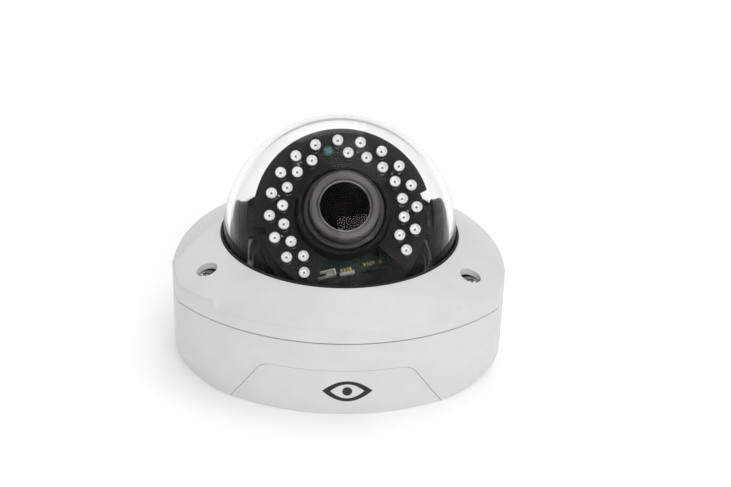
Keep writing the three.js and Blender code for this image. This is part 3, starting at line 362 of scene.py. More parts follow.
def noise(tree, scale, detail=4.0, stretch=None):
    """Noise on the piece's own coordinates; scale is in features per metre."""
    where = tree.nodes.new("ShaderNodeTexCoord")
    source = where.outputs["Object"]
    if stretch:
        mapping = tree.nodes.new("ShaderNodeMapping")
        mapping.inputs["Scale"].default_value = stretch
        tree.links.new(source, mapping.inputs["Vector"])
        source = mapping.outputs["Vector"]
    tex = tree.nodes.new("ShaderNodeTexNoise")
    tex.inputs["Scale"].default_value = scale
    tex.inputs["Detail"].default_value = detail
    tree.links.new(source, tex.inputs["Vector"])
    return tex.outputs["Fac"]


def ranged(tree, source, low, high):
    node = tree.nodes.new("ShaderNodeMapRange")
    node.inputs["From Min"].default_value = 0.3
    node.inputs["From Max"].default_value = 0.7
    node.inputs["To Min"].default_value = low
    node.inputs["To Max"].default_value = high
    tree.links.new(source, node.inputs["Value"])
    return node.outputs["Result"]


def tinted(tree, source, dark, light):
    ramp = tree.nodes.new("ShaderNodeValToRGB")
    ramp.color_ramp.elements[0].position = 0.3
    ramp.color_ramp.elements[1].position = 0.7
    ramp.color_ramp.elements[0].color = (*dark, 1)
    ramp.color_ramp.elements[1].color = (*light, 1)
    tree.links.new(source, ramp.inputs["Fac"])
    return ramp.outputs["Color"]


def bumped(tree, shader, source, distance, strength=1.0):
    node = tree.nodes.new("ShaderNodeBump")
    node.inputs["Strength"].default_value = strength
    node.inputs["Distance"].default_value = distance * MM
    tree.links.new(source, node.inputs["Height"])
    tree.links.new(node.outputs["Normal"], shader.inputs["Normal"])


def surface(name, dark, light, rough, metal=0.0, grain=(2500, 0.02), patch=90, stretch=None, specular=0.5):
    """Opaque finish: colour between dark and light, roughness (low, high), fine grain as bump."""
    mat, tree, shader = new_material(name)
    shader.inputs["Metallic"].default_value = metal
    shader.inputs["Specular IOR Level"].default_value = specular
    broad = noise(tree, patch, 5.0, stretch)
    tree.links.new(tinted(tree, broad, dark, light), shader.inputs["Base Color"])
    fine = noise(tree, grain[0], 3.0, stretch)
    mixed = tree.nodes.new("ShaderNodeMath")
    mixed.operation = "ADD"
    scaled = tree.nodes.new("ShaderNodeMath")
    scaled.operation = "MULTIPLY"
    scaled.inputs[1].default_value = 0.5
    tree.links.new(broad, mixed.inputs[0])
    tree.links.new(fine, mixed.inputs[1])
    tree.links.new(mixed.outputs[0], scaled.inputs[0])
    tree.links.new(ranged(tree, scaled.outputs[0], *rough), shader.inputs["Roughness"])
    bumped(tree, shader, fine, grain[1])
    return mat


def clear(name, tint, shadow_tint, ior=1.5, roughness=0.0, specular=0.5):
    """Clear solid that bends what is seen through it and lets the lamps' light straight through."""
    mat, tree, shader = new_material(name)
    shader.inputs["Base Color"].default_value = (*tint, 1)
    shader.inputs["Transmission Weight"].default_value = 1.0
    shader.inputs["IOR"].default_value = ior
    shader.inputs["Roughness"].default_value = roughness
    shader.inputs["Specular IOR Level"].default_value = specular
    through = tree.nodes.new("ShaderNodeBsdfTransparent")
    through.inputs["Color"].default_value = (*shadow_tint, 1)
    path = tree.nodes.new("ShaderNodeLightPath")
    mix = tree.nodes.new("ShaderNodeMixShader")
    tree.links.new(path.outputs["Is Shadow Ray"], mix.inputs["Fac"])
    tree.links.new(shader.outputs[0], mix.inputs[1])
    tree.links.new(through.outputs[0], mix.inputs[2])
    tree.links.new(mix.outputs[0], tree.nodes["Material Output"].inputs["Surface"])
    return mat


PAINT = surface("powder_coat", (0.70, 0.70, 0.69), (0.735, 0.733, 0.722), (0.34, 0.46),
                grain=(1500, 0.018))
BLACK = surface("satin_black", (0.0045, 0.0045, 0.0046), (0.008, 0.008, 0.008), (0.32, 0.48),
                grain=(2200, 0.03), specular=0.16)
GLOSS_BLACK = surface("gloss_black", (0.006, 0.006, 0.0064), (0.010, 0.010, 0.011), (0.2, 0.32),
                      specular=0.3)
BLACK_METAL = surface("black_coated_metal", (0.007, 0.007, 0.007), (0.013, 0.0125, 0.012), (0.3, 0.44),
                      metal=0.1, grain=(2600, 0.02), specular=0.22)
RUBBER = surface("black_rubber", (0.006, 0.006, 0.006), (0.012, 0.012, 0.012), (0.7, 0.9), grain=(1600, 0.05))
FOAM = surface("black_foam", (0.004, 0.004, 0.004), (0.014, 0.013, 0.013), (0.9, 1.0), grain=(1300, 0.25),
               specular=0.2)
STEEL = surface("polished_steel", (0.55, 0.56, 0.58), (0.72, 0.73, 0.75), (0.12, 0.26), metal=1.0,
                grain=(3000, 0.004))
BRASS = surface("nickel_brass", (0.62, 0.50, 0.27), (0.76, 0.62, 0.36), (0.22, 0.34), metal=1.0,
                grain=(2500, 0.004), stretch=(1, 1, 20))
LENS_GREY = surface("lens_ring_grey", (0.060, 0.055, 0.053), (0.088, 0.081, 0.077), (0.36, 0.5), metal=0.25,
                    grain=(2800, 0.02))
RING_DARK = surface("focus_ring_dark", (0.022, 0.021, 0.02), (0.036, 0.034, 0.032), (0.3, 0.42), metal=0.3,
                    grain=(2600, 0.02))
LENS_BRIGHT = surface("lens_edge", (0.30, 0.29, 0.28), (0.42, 0.41, 0.40), (0.2, 0.32), metal=0.8,
                      grain=(2800, 0.006))
MASK_BLACK = surface("black_solder_mask", (0.004, 0.0039, 0.0039), (0.008, 0.0076, 0.0074), (0.38, 0.5),
                     grain=(700, 0.01), patch=420, specular=0.15)
MASK_GREEN = surface("green_solder_mask", (0.002, 0.020, 0.011), (0.004, 0.042, 0.022), (0.22, 0.36),
                     grain=(800, 0.012), patch=500)
GOLD = surface("gold_pad", (0.75, 0.52, 0.2), (0.9, 0.68, 0.32), (0.2, 0.34), metal=1.0, grain=(2500, 0.003))
TIN = surface("tinned", (0.6, 0.6, 0.61), (0.8, 0.8, 0.8), (0.16, 0.3), metal=1.0, grain=(1800, 0.01))
CREAM = surface("cream_housing", (0.80, 0.77, 0.66), (0.90, 0.87, 0.76), (0.4, 0.55), grain=(2000, 0.01))
WHITE = surface("white_housing", (0.7, 0.7, 0.68), (0.8, 0.8, 0.78), (0.35, 0.5), grain=(2000, 0.01))
TEAL = surface("sensor_track", (0.02, 0.26, 0.27), (0.04, 0.4, 0.4), (0.3, 0.45), grain=(2000, 0.01))
TEAL_DARK = surface("sensor_face", (0.004, 0.022, 0.024), (0.006, 0.04, 0.042), (0.3, 0.45),
                    grain=(2000, 0.01))
PRINT = surface("black_print", (0.004, 0.004, 0.004), (0.008, 0.008, 0.008), (0.3, 0.42), grain=(2000, 0.006))
LAMP_CUP = surface("lamp_reflector", (0.9, 0.9, 0.92), (1.0, 1.0, 1.0), (0.2, 0.34), metal=0.25,
                   grain=(2500, 0.01))
WIRE_RED = surface("red_insulation", (0.42, 0.015, 0.01), (0.55, 0.03, 0.02), (0.35, 0.5), grain=(2000, 0.01))
WIRE_GREEN = surface("green_insulation", (0.01, 0.2, 0.05), (0.02, 0.3, 0.09), (0.35, 0.5),
                     grain=(2000, 0.01))
CHIP = surface("chip_package", (0.012, 0.012, 0.012), (0.022, 0.022, 0.022), (0.45, 0.6), grain=(2600, 0.02))
DOME_CLEAR = clear("clear_polycarbonate", (0.985, 0.985, 0.98), (0.96, 0.96, 0.96), ior=1.14)
LAMP_CLEAR = clear("clear_epoxy", (0.97, 0.97, 0.975), (0.95, 0.95, 0.95), ior=1.5)
GLASS = clear("coated_glass", (0.16, 0.17, 0.17), (0.2, 0.2, 0.2), ior=1.08, specular=0.25)
COAT_GREEN = clear("green_coating", (0.2, 0.6, 0.35), (0.4, 0.5, 0.4), ior=1.6, specular=0.6)
COAT_PINK = clear("pink_coating", (0.5, 0.2, 0.3), (0.5, 0.4, 0.4), ior=1.6, specular=0.6)


# ---------------- placing pieces
def place(obj, material, body, where=WORLD, node=None, slot=None, angle=32):
    """Gives a piece its finish, its place and its body, and hides the CAD node that it stands for."""
    obj.data.materials.clear()
    obj.data.materials.append(material)
    for face in obj.data.polygons:
        face.material_index = 0
    if not obj.modifiers:
        obj.data.shade_smooth()
        obj.data.set_sharp_from_angle(angle=math.radians(angle))
    metres = where.copy()
    metres.translation = where.translation * MM
    obj.matrix_world = metres
    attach(obj, body)
    if node:
        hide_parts(node)
    return obj


# ---------------- camera first
def make_camera():
    distance, pitch, roll = 651.82, 26.9, 1.34
    image_width, focal, sensor = 731.0, 1426.97, 36
    target = Vector((0, 0, 50))
    back = Vector((0, -cos(pitch), sin(pitch)))
    right = Vector((1, 0, 0))
    up = back.cross(right)
    turned_right = right * cos(roll) + up * sin(roll)
    turned_up = up * cos(roll) - right * sin(roll)
    data = bpy.data.cameras.new("camera")
    data.sensor_width = sensor
    data.lens = sensor * focal / image_width
    data.shift_x = 25.89 / image_width
    data.shift_y = -9.98 / image_width
    data.clip_start = 0.01
    data.clip_end = 50
    camera = bpy.data.objects.new("camera", data)
    bpy.context.scene.collection.objects.link(camera)
    axes = Matrix((turned_right, turned_up, back)).transposed().to_4x4()
    camera.matrix_world = Matrix.Translation((target + back * distance) * MM) @ axes
    bpy.context.scene.camera = camera


make_camera()

# ---------------- housing plan
CORNER_CENTRE = -ARC_OFFSET / 2 + math.sqrt((ARC_RADIUS - CORNER_ROUND) ** 2 - 0.75 * ARC_OFFSET ** 2)


def tangent_azimuth():
    cx, cy = CORNER_CENTRE * sin(60), CORNER_CENTRE * cos(60)
    lean = math.atan2(cx, cy + ARC_OFFSET)
    return math.degrees(math.atan2(cx + CORNER_ROUND * math.sin(lean), cy + CORNER_ROUND * math.cos(lean)))


TANGENT = tangent_azimuth()


def fold(azimuth):
    """Azimuth about the middle of the nearest of the three arcs."""
    return (azimuth + 60) % 120 - 60


def plan(azimuth, offset=0.0):
    phi = fold(azimuth)
    if abs(phi) <= TANGENT:
        return -ARC_OFFSET * cos(phi) + math.sqrt((ARC_RADIUS + offset) ** 2 - (ARC_OFFSET * sin(phi)) ** 2)
    delta = 60 - abs(phi)
    radius = max(CORNER_ROUND + offset, 0.2)
    reach = CORNER_CENTRE + min(CORNER_ROUND + offset - 0.2, 0) * 1.1
    return reach * cos(delta) + math.sqrt(max(radius ** 2 - (reach * sin(delta)) ** 2, 0))


def plan_azimuths(step=1.5):
    """Azimuths of the housing's profiles: close together at the corners and the facets' ends."""
    fine, start, margin = 0.55, 0.3, 1.2
    third = [-60 + fine * i for i in range(round((60 - TANGENT) / fine) + 1)]
    inner = FACET_END + 2.2
    third += [-TANGENT + start + (TANGENT - start - inner) * i / 8 for i in range(8)]
    third += [-inner + (inner - FACET_END + margin) * i / 8 for i in range(8)]
    count = round((2 * FACET_END - 2 * margin) / step)
    third += [-FACET_END + margin + (2 * FACET_END - 2 * margin) * i / count for i in range(count + 1)]
    third += [-p for p in third[::-1] if -60 < p < -FACET_END + 1.15]
    third = sorted(set(round(p, 4) for p in third))
    return [middle + p for middle in (0, 120, 240) for p in third if p < 59.99]


AZIMUTHS = plan_azimuths()
GROMMET_Y = 26
CONDUIT = shift(*around(plan(120), 120), 17.5) @ turn("Z", 120) @ turn("X", 90)


def cone(radius):
    return OPENING_Z - CONE_SLOPE * (radius - OPENING_RADIUS)


# ---------------- base
def make_base():
    corner = plan(60)

    def trim(azimuth, z):
        return min(plan(azimuth), FOOT_RADIUS + (corner + 0.35 - FOOT_RADIUS) * z / FOOT_TRIM)

    def profile(azimuth):
        wall = plan(azimuth, -WALL)
        foot = min(wall, FOOT_RADIUS - WALL + 0.6)
        outer = plan(azimuth)
        return [
            (0, 0),
            (trim(azimuth, 0) - 0.6, 0, 0.4),
            (trim(azimuth, 0.6), 0.6, 0.6),
            (trim(azimuth, FOOT_TRIM), FOOT_TRIM, 1.5),
            (outer, BASE_HEIGHT, 0.35),
            (plan(azimuth, -0.8), BASE_HEIGHT, 0.1),
            (plan(azimuth, -0.8), BASE_HEIGHT - 1.5),
            (plan(azimuth, -2.7), BASE_HEIGHT - 1.5),
            (plan(azimuth, -2.7), BASE_HEIGHT, 0.1),
            (wall, BASE_HEIGHT, 0.2),
            (min(wall, FOOT_RADIUS), FOOT_TRIM + 1, 1.5),
            (foot, FLOOR, 1.0),
            (0, FLOOR),
        ]

    base = loft("base_shell", profile, AZIMUTHS)
    for azimuth in CORNERS:
        x, y = around(SCREW_CIRCLE, azimuth)
        boss = rod("boss", BOSS_RADIUS, FLOOR - 1, BASE_HEIGHT, 0.3)
        join(base, moved(boss, shift(x, y, 0)))
        hole = rod("hole", SCREW_HOLE, 21, BASE_HEIGHT + 1)
        cut(base, moved(hole, shift(x, y, 0)))
    for x in (-BOARD_SCREW_X, BOARD_SCREW_X):
        join(base, moved(rod("pillar", 3, FLOOR - 1, 4.9), shift(x, 0, 0)))
    cut(base, moved(rod("hole", 9, -1, FLOOR + 1, 0, 64), shift(0, GROMMET_Y, 0)))
    for azimuth in (0, 120, 240):
        outline = arc(4, 0, 2.4, -90, 90) + arc(-4, 0, 2.4, 90, 270)
        slot = slab("slot", outline, -1, FLOOR + 1)
        x, y = around(60, azimuth)
        cut(base, moved(slot, shift(x, y, 0) @ turn("Z", azimuth)))
    cut(base, moved(rod("hole", 10, -12, 12, 0, 64), CONDUIT))
    groove = cut(panel_skin("groove", panel_outline(), -PANEL_DEPTH - GROOVE_DEPTH, 2.0),
                 panel_skin("kept", panel_outline(GROOVE_WIDTH), -3.0, 3.0))
    cut(base, panel_skin("panel", panel_outline(), -PANEL_DEPTH, 2.0), groove)
    return base


def panel_outline(inset=0.0):
    """Front panel's trapezoid with round upper corners, as (x, z)."""
    half_top, half_bottom, height, r = 32.5 - inset, 46.0 - 1.15 * inset, 22.0 - inset, 5.0
    right = [(half_bottom + 1, -1), (half_top + r * 0.5, height - r * 0.9)]
    bend = [(half_top + r * 0.5 * (1 - t) ** 2 - r * t * t, height - r * 0.9 * (1 - t) ** 2)
            for t in (0.15, 0.3, 0.45, 0.6, 0.75, 0.9, 1.0)]
    side = right + bend
    return side + [(-x, z) for x, z in side[::-1]]


def panel_skin(name, outline, inner, outer):
    """The outline pushed through the front wall, between two offsets from the plan."""
    stencil = moved(slab("stencil", outline, 0, 60), shift(0, -30, 0) @ turn("X", 90))
    shell = loft(name, lambda a: [(0, -1), (plan(a, outer), -1), (plan(a, outer), 24), (0, 24)], AZIMUTHS)
    core = loft("core", lambda a: [(0, -2), (plan(a, inner), -2), (plan(a, inner), 25), (0, 25)], AZIMUTHS)
    return common(cut(shell, core), stencil)


def make_mark():
    """Generic print on the front panel: an open eye with a pupil, and no lettering."""
    cx, cz, half_w, half_h = 4.8, 11.6, 10.7, 5.0

    def almond(w, h, n=24):
        top = [(cx + w * (2 * i / n - 1), cz + h * (1 - (2 * i / n - 1) ** 2)) for i in range(n + 1)]
        bottom = [(x, 2 * cz - z) for x, z in top[-2:0:-1]]
        return top + bottom

    def printed(name, outline):
        return panel_skin(name, outline, -PANEL_DEPTH + 0.001, -PANEL_DEPTH + 0.09)

    ring = cut(printed("mark", almond(half_w, half_h)),
               panel_skin("hollow", almond(half_w - 3.4, half_h - 1.5), -1, 0.5))
    pupil = printed("pupil", arc(cx, cz, 2.1, 0, 350, 35))
    return merge("front_mark", [ring, pupil])


place(make_base(), PAINT, "base", node="base_housing", slot="housing_paint")
place(make_mark(), PRINT, "base", slot="rubber")


def seal_profile(azimuth):
    inner, outer = plan(azimuth, -2.4), plan(azimuth, -1.1)
    low, high = BASE_HEIGHT - 1.2, BASE_HEIGHT + 0.1
    return [(inner, low, 0.2), (outer, low, 0.2), (outer, high, 0.3), (inner, high, 0.3)]


seal = loft("seam_seal", seal_profile, AZIMUTHS, closed=True)
place(seal, RUBBER, "base", node="housing_seal", slot="rubber")

grommet = turned("grommet", [(4, 0.4, 0.5), (8.7, 0.4, 0.3), (8.7, 3.8, 0.2), (11, 3.8, 0.4), (11, 5.5, 0.6),
                             (6.5, 8, 0.8), (4, 8, 0.5)])
place(grommet, RUBBER, "base", shift(0, GROMMET_Y, 0), "cable_grommet", "rubber")

place(tube("conduit_washer", 10.3, 12.4, 0.5, 1.5, 0.3), RUBBER, "base", CONDUIT, "conduit_plug_seal",
      "rubber")
plug = turned("conduit_cap", [(0, -6), (9.7, -6, 0.5), (9.7, 1.8, 0.1), (12.6, 1.8, 0.3), (12.6, 3.2, 0.7),
                              (0, 3.2)])
cut(plug, slab("hex", [(4 * cos(60 * i), 4 * sin(60 * i)) for i in range(6)], 0.8, 5))
place(plug, PAINT, "base", CONDUIT, "conduit_plug", "housing_paint")


# ---------------- screws
def cross_screw(name, head, height, shank, length, segments=40):
    """Pan-head screw along Z with a cross recess; the head's underside is at z = 0."""
    rise = height * 0.45
    screw = turned(name, [(0, -length), (shank * 0.75, -length, 0.1), (shank, -length + 0.5, 0.1), (shank, 0),
                          (head, 0, 0.12), (head, rise, head * 0.25), (head * 0.55, height, head * 0.3),
                          (0, height)], segments)
    arm, half = head * 0.55, head * 0.13
    for angle in (0, 90):
        bar = moved(block("bar", -arm, arm, -half, half, height * 0.35, height + 1), turn("Z", angle))
        cut(screw, bar)
    return screw


def six_lobe(radius, lobes=6, steps=72):
    points = []
    for i in range(steps):
        angle = 360 * i / steps
        reach = radius * (1 + 0.13 * cos(lobes * 360 * i / steps))
        points.append((reach * cos(angle), reach * sin(angle)))
    return points


def cover_screw(name):
    """Button head with a six-lobe recess round a centre pin."""
    low = POCKET_FLOOR + GAP
    screw = turned(name, [(0, 22), (1.3, 22, 0.1), (2.1, 23, 0.2), (2.1, low), (4.2, low, 0.3),
                          (4.2, low + 1.1, 0.9), (3.4, low + 2.45, 0.9), (2.4, low + 3.0, 0.3),
                          (0, low + 3.0)], 72)
    recess = slab("recess", six_lobe(1.95), low + 1.2, low + 4)
    cut(recess, rod("pin", 0.65, low, low + 2.7, 0.15, 24))
    return cut(screw, recess)


SCREW_BODIES = ("cover_screw_right", "cover_screw_rear", "cover_screw_left")
for index, (azimuth, body) in enumerate(zip(CORNERS, SCREW_BODIES)):
    x, y = around(SCREW_CIRCLE, azimuth)
    screw = moved(cover_screw(f"security_screw_{index + 1}"), turn("Z", 17 * index))
    place(screw, STEEL, body, shift(x, y, 0), f"cover_screw_{index + 1}", "steel")


# ---------------- cover
def facet_share(azimuth):
    """1 inside a facet, 0 outside, smooth across its end."""
    t = (FACET_END + 1.3 - abs(fold(azimuth))) / 2.6
    t = min(max(t, 0), 1)
    return t * t * (3 - 2 * t)


def cover_profile(azimuth):
    outer, wall = plan(azimuth), plan(azimuth, -COVER_WALL)
    share = facet_share(azimuth)
    crease_flat = min(max(FACET_CREASE / cos(fold(azimuth)), OPENING_RADIUS + 0.9), outer - 4)
    crease = crease_flat * share + (outer - 4) * (1 - share)
    shoulder = cone(outer) - FACET_DROP * share
    bend = max(min(crease, outer - 8), SEAT_RADIUS + 0.6)

    def roof(r):
        if r <= crease:
            return cone(r) - COVER_WALL
        t = (r - crease) / (outer - crease)
        return cone(crease) * (1 - t) + shoulder * t - COVER_WALL

    return [
        (outer, COVER_BOTTOM, 0.3),
        (outer, shoulder, 1.3),
        (crease, cone(crease), 1.2),
        (OPENING_RADIUS + 0.2, OPENING_Z, 0.35),
        (OPENING_RADIUS, OPENING_Z - 0.5, 0.2),
        (OPENING_RADIUS, SEAT_Z),
        (SEAT_RADIUS, SEAT_Z),
        (SEAT_RADIUS, roof(SEAT_RADIUS)),
        (bend, roof(bend), 1),
        (wall, shoulder - COVER_WALL, 1.5),
        (wall, COVER_BOTTOM, 0.2),
    ]


def make_cover():
    cover = loft("cover_shell", cover_profile, AZIMUTHS, closed=True)
    for azimuth in CORNERS:
        x, y = around(SCREW_CIRCLE, azimuth)
        join(cover, moved(rod("boss", BOSS_RADIUS, COVER_BOTTOM, POCKET_FLOOR + 2), shift(x, y, 0)))
        rim = cone(SCREW_CIRCLE)
        pocket = turned("pocket", [(0, POCKET_FLOOR), (POCKET_RADIUS - 0.3, POCKET_FLOOR, 0.5),
                                   (POCKET_RADIUS - 0.1, rim + 1.6), (POCKET_RADIUS - 0.1, OPENING_Z + 2),
                                   (0, OPENING_Z + 2)], 72)
        cut(cover, moved(pocket, shift(x, y, 0)))
        cut(cover, moved(rod("hole", SCREW_HOLE, COVER_BOTTOM - 1, POCKET_FLOOR + 1), shift(x, y, 0)))
    for azimuth in CLAMP_AZIMUTHS:
        x, y = around(CLAMP_CIRCLE, azimuth)
        join(cover, moved(rod("nut", 2.8, 43.5, cone(CLAMP_CIRCLE) - 1), shift(x, y, 0)))
        cut(cover, moved(rod("tap", 1.8, 42, 46.8), shift(x, y, 0)))
    return cover


place(make_cover(), PAINT, "cover", node="top_cover", slot="housing_paint", angle=40)

gasket = turned("lip_gasket", [(53.2, 45.8, 0.2), (57.8, 45.8, 0.2), (57.8, 46.7, 0.2), (53.75, 46.7, 0.1),
                               (53.75, 51.5, 0.3), (54.35, 52.0, 0.3), (53.2, 52.4, 0.3)], 192)
place(gasket, RUBBER, "cover", node="dome_gasket", slot="rubber")


def ball_profile(radius, steps):
    """Quarter circle about the dome's centre, from level up to just short of the axis."""
    return [(radius * cos(90 * i / steps), DOME_CENTRE + radius * sin(90 * i / steps)) for i in range(steps)]


def make_dome():
    inner = DOME_RADIUS - DOME_WALL
    low, high = 43.2, 45.5
    profile = [(0, DOME_CENTRE + inner)] + ball_profile(inner, 40)[::-1]
    profile += [(inner, low, 0.3), (FLANGE_RADIUS, low, 0.3), (FLANGE_RADIUS, high, 0.3),
                (DOME_RADIUS, high, 0.3)]
    profile += ball_profile(DOME_RADIUS, 40)
    return turned("clear_dome", profile + [(0, DOME_CENTRE + DOME_RADIUS)], 192)


place(make_dome(), DOME_CLEAR, "cover", node="dome_bubble", slot="dome_clear", angle=50)

clamp = tube("clamp_ring", 50.5, 57.5, 40.6, 42.9)
for azimuth in CLAMP_AZIMUTHS:
    join(clamp, moved(block("lug", -4, 4, -65, -53.5, 40.6, 42.9), turn("Z", azimuth)))
    x, y = around(CLAMP_CIRCLE, azimuth)
    cut(clamp, moved(rod("hole", 1.8, 38, 46), shift(x, y, 0)))
place(clamp, BLACK_METAL, "cover", node="dome_clamp_ring", slot="black_metal")
for index, azimuth in enumerate(CLAMP_AZIMUTHS):
    x, y = around(CLAMP_CIRCLE, azimuth)
    place(cross_screw(f"clamp_bolt_{index + 1}", 2.7, 1.7, 1.5, 5.3), STEEL, "cover",
          shift(x, y, 40.3) @ turn("X", 180), f"dome_clamp_screw_{index + 1}", "steel")


# ---------------- base's inside
BOARD_TOP = 6.8
board = slab("wiring_board", rounded_block(-30, 30, -12, 12, 2), 5.2, BOARD_TOP)
for x in (-BOARD_SCREW_X, BOARD_SCREW_X):
    cut(board, moved(rod("hole", 1.8, 0, 20), shift(x, 0, 0)))
place(soften(board, 0.1), MASK_GREEN, "base", node="terminal_board", slot="board_green")
terminal = block("terminal_block", -12, -1, -10, 0, BOARD_TOP + GAP, 13.8)
for x in (-9, -4):
    cut(terminal, moved(rod("screw_well", 1.4, 10.8, 15), shift(x, -5, 0)))
    cut(terminal, block("wire_entry", x - 1.3, x + 1.3, -11, -7, 8, 10.2))
place(soften(terminal, 0.3), CREAM, "base", node="power_terminal", slot="cream_plastic")
jack = block("jack_body", 4, 13, -10, 0, BOARD_TOP + GAP, 13.1)
cut(jack, moved(rod("bore", 1.9, -3, 8), shift(8.5, -12, 10.1) @ turn("X", -90)))
place(soften(jack, 0.3), BLACK, "base", node="service_jack", slot="black_plastic")
for index, x in enumerate((-BOARD_SCREW_X, BOARD_SCREW_X)):
    place(cross_screw(f"board_screw_{index + 1}", 3, 1.8, 1.4, 1.6), STEEL, "base",
          shift(x, 0, BOARD_TOP + GAP), f"terminal_board_screw_{index + 1}", "steel")


def chip_blocks(name, level, chips):
    """Blocks on a board, each given as (x, y, width, depth, height)."""
    return [block(name, x, x + w, y, y + d, level, level + h) for x, y, w, d, h in chips]


chips = chip_blocks("chip", BOARD_TOP, ((-26, 4, 6, 5, 1.2), (-8, 4, 8, 5, 1.4), (16, -8, 5, 5, 2.2),
                                        (4, 4, 3, 2, 1), (9, 5, 3, 2, 1)))
place(soften(merge("wiring_board_chips", chips), 0.12), CHIP, "base", slot="black_plastic")

liner_rim, liner_low, liner_top, liner_wall = RING_INNER - GAP, 14.2, 36.2, 1.2
liner = turned("liner_bowl", [(7, liner_low, 0.3), (28, liner_low, 3), (liner_rim, 34.6, 0.5),
                              (liner_rim, liner_top, 0.2), (liner_rim - liner_wall, liner_top, 0.2),
                              (27, liner_low + liner_wall, 3), (7, liner_low + liner_wall, 0.3)], 144)
place(liner, GLOSS_BLACK, "base", node="inner_liner", slot="black_plastic")


def make_gimbal_base():
    top = GIMBAL_TOP
    ring = turned("gimbal_frame", [(RING_INNER, top - 6, 0.4), (RING_INNER + 2.4, top - 6, 0.4),
                                   (RING_INNER + 2.4, top - 2.5, 0.3), (RING_OUTER + 1, top - 2.5, 0.3),
                                   (RING_OUTER + 1, top, 0.5), (RING_INNER, top, 0.5)], 144)
    for azimuth in LEG_AZIMUTHS:
        x, y = around(46, azimuth)
        join(ring, moved(rod("leg", 4, 3.8, top - 1), shift(x, y, 0)))
        x, y = around(53, azimuth)
        join(ring, moved(block("foot", -4, 4, -4, 4, 3.8, 6.2), shift(x, y, 0) @ turn("Z", azimuth)))
        x, y = around(54, azimuth)
        cut(ring, moved(rod("hole", 1.9, 0, 12), shift(x, y, 0)))
    return ring


place(make_gimbal_base(), BLACK, "base", node="gimbal_base", slot="black_plastic")
for index, azimuth in enumerate(LEG_AZIMUTHS):
    x, y = around(54, azimuth)
    place(cross_screw(f"frame_screw_{index + 1}", 2.8, 1.8, 1.5, 2.6), STEEL, "base", shift(x, y, 6.5),
          f"gimbal_screw_{index + 1}", "steel")
place(tube("friction_washer", RING_INNER + 1.5, RING_OUTER - 1.5, 36.8, 37.4, 0.1), WHITE, "base",
      node="pan_friction_ring", slot="white_plastic")

# ---------------- pan ring and arms
PAN_Z, PAN_TOP = 37.7, 41.0
pan_ring = turned("turntable", [(RING_INNER, PAN_Z, 0.4), (RING_OUTER, PAN_Z, 0.4),
                                (RING_OUTER, PAN_TOP, 0.8), (RING_OUTER - 1.6, PAN_TOP + 0.01, 0.3),
                                (RING_INNER, PAN_TOP, 0.8)], 144)
cut(pan_ring, moved(rod("hole", 1.9, 30, 50), shift(0, PAN_LOCK_Y, 0)))
place(pan_ring, GLOSS_BLACK, "pan", PAN, "pan_ring", "black_plastic")
place(cross_screw("pan_lock", 2.9, 3, 1.6, 3.3), STEEL, "pan", PAN @ shift(0, PAN_LOCK_Y, PAN_TOP + GAP),
      "pan_lock_screw", "steel")


def make_arm(name):
    half, top, low = 8.5, TILT_Z + 11, PAN_TOP + GAP
    outline = [(half, low)] + arc(0, top - half, half, 0, 180, 24) + [(-half, low)]
    arm = moved(slab(name, outline, ARM_INNER, ARM_OUTER), turn("Z", 90) @ turn("X", 90))
    foot = block("foot", ARM_OUTER - 1, ARM_OUTER + 2.6, -half, half, low, low + 2)
    join(arm, foot)
    for z, r in ((TILT_Z, 2.9), (TILT_Z - LOCK_DROP, 1.8)):
        cut(arm, moved(rod("hole", r, ARM_INNER - 1, ARM_OUTER + 1), shift(0, 0, z) @ turn("Y", 90)))
    return soften(arm, 0.5, 3)


def make_ear(name):
    """Rounded cover between an arm and the dome's wall, open round the pivot's knob."""
    radius, low, inner, middle = 15.0, PAN_TOP + GAP, ARM_OUTER + GAP, TILT_Z - 4.0
    disc = moved(rod(name, radius, inner, DOME_RADIUS, 0, 96), shift(0, 0, middle) @ turn("Y", 90))
    join(disc, block("skirt", inner, DOME_RADIUS, -radius, radius, low, middle))
    limit = DOME_RADIUS - DOME_WALL - 0.9
    ball = [(0, low), (limit, low)] + ball_profile(limit, 24) + [(0, DOME_CENTRE + limit)]
    common(disc, turned("ball", ball, 144))
    cut(disc, moved(rod("knob", 6.2, 0, DOME_RADIUS), shift(0, 0, TILT_Z) @ turn("Y", 90)))
    cut(disc, moved(rod("lock", 3.0, 0, DOME_RADIUS), shift(0, 0, TILT_Z - LOCK_DROP) @ turn("Y", 90)))
    cut(disc, block("foot", 0, ARM_OUTER + 3.0, -9, 9, low - 1, 43.6))
    return soften(disc, 0.4, 3)


def make_pivot(name):
    face = ARM_OUTER + GAP
    start = ARM_INNER - 3.2
    knob = turned(name, [(0, start), (2.0, start, 0.2), (2.0, ARM_INNER - 0.1), (2.6, ARM_INNER - 0.1),
                         (2.6, face), (5.5, face, 0.3), (5.5, face + 1, 0.5), (4.2, face + 2.2, 0.5),
                         (0, face + 2.2)], 64)
    cut(knob, block("slot", -3.2, 3.2, -0.5, 0.5, face + 1.2, face + 3))
    return knob


for label, half_turn in (("left", 180), ("right", 0)):
    side = PAN @ turn("Z", half_turn)
    place(make_arm(f"arm_{label}"), BLACK, "pan", side, f"yoke_arm_{label}", "black_plastic")
    place(make_ear(f"ear_cover_{label}"), BLACK, "pan", side, slot="black_plastic")
    lock = cross_screw(f"arm_screw_{label}", 2.4, 1.6, 1.5, 2.8)
    place(lock, STEEL, "pan", side @ shift(ARM_OUTER + GAP, 0, TILT_Z - LOCK_DROP) @ turn("Y", 90),
          f"tilt_lock_screw_{label}", "steel")
    place(make_pivot(f"pivot_{label}"), BLACK_METAL, "tilt", TILT @ turn("Z", half_turn) @ turn("Y", 90),
          f"tilt_pivot_{label}", "black_plastic")


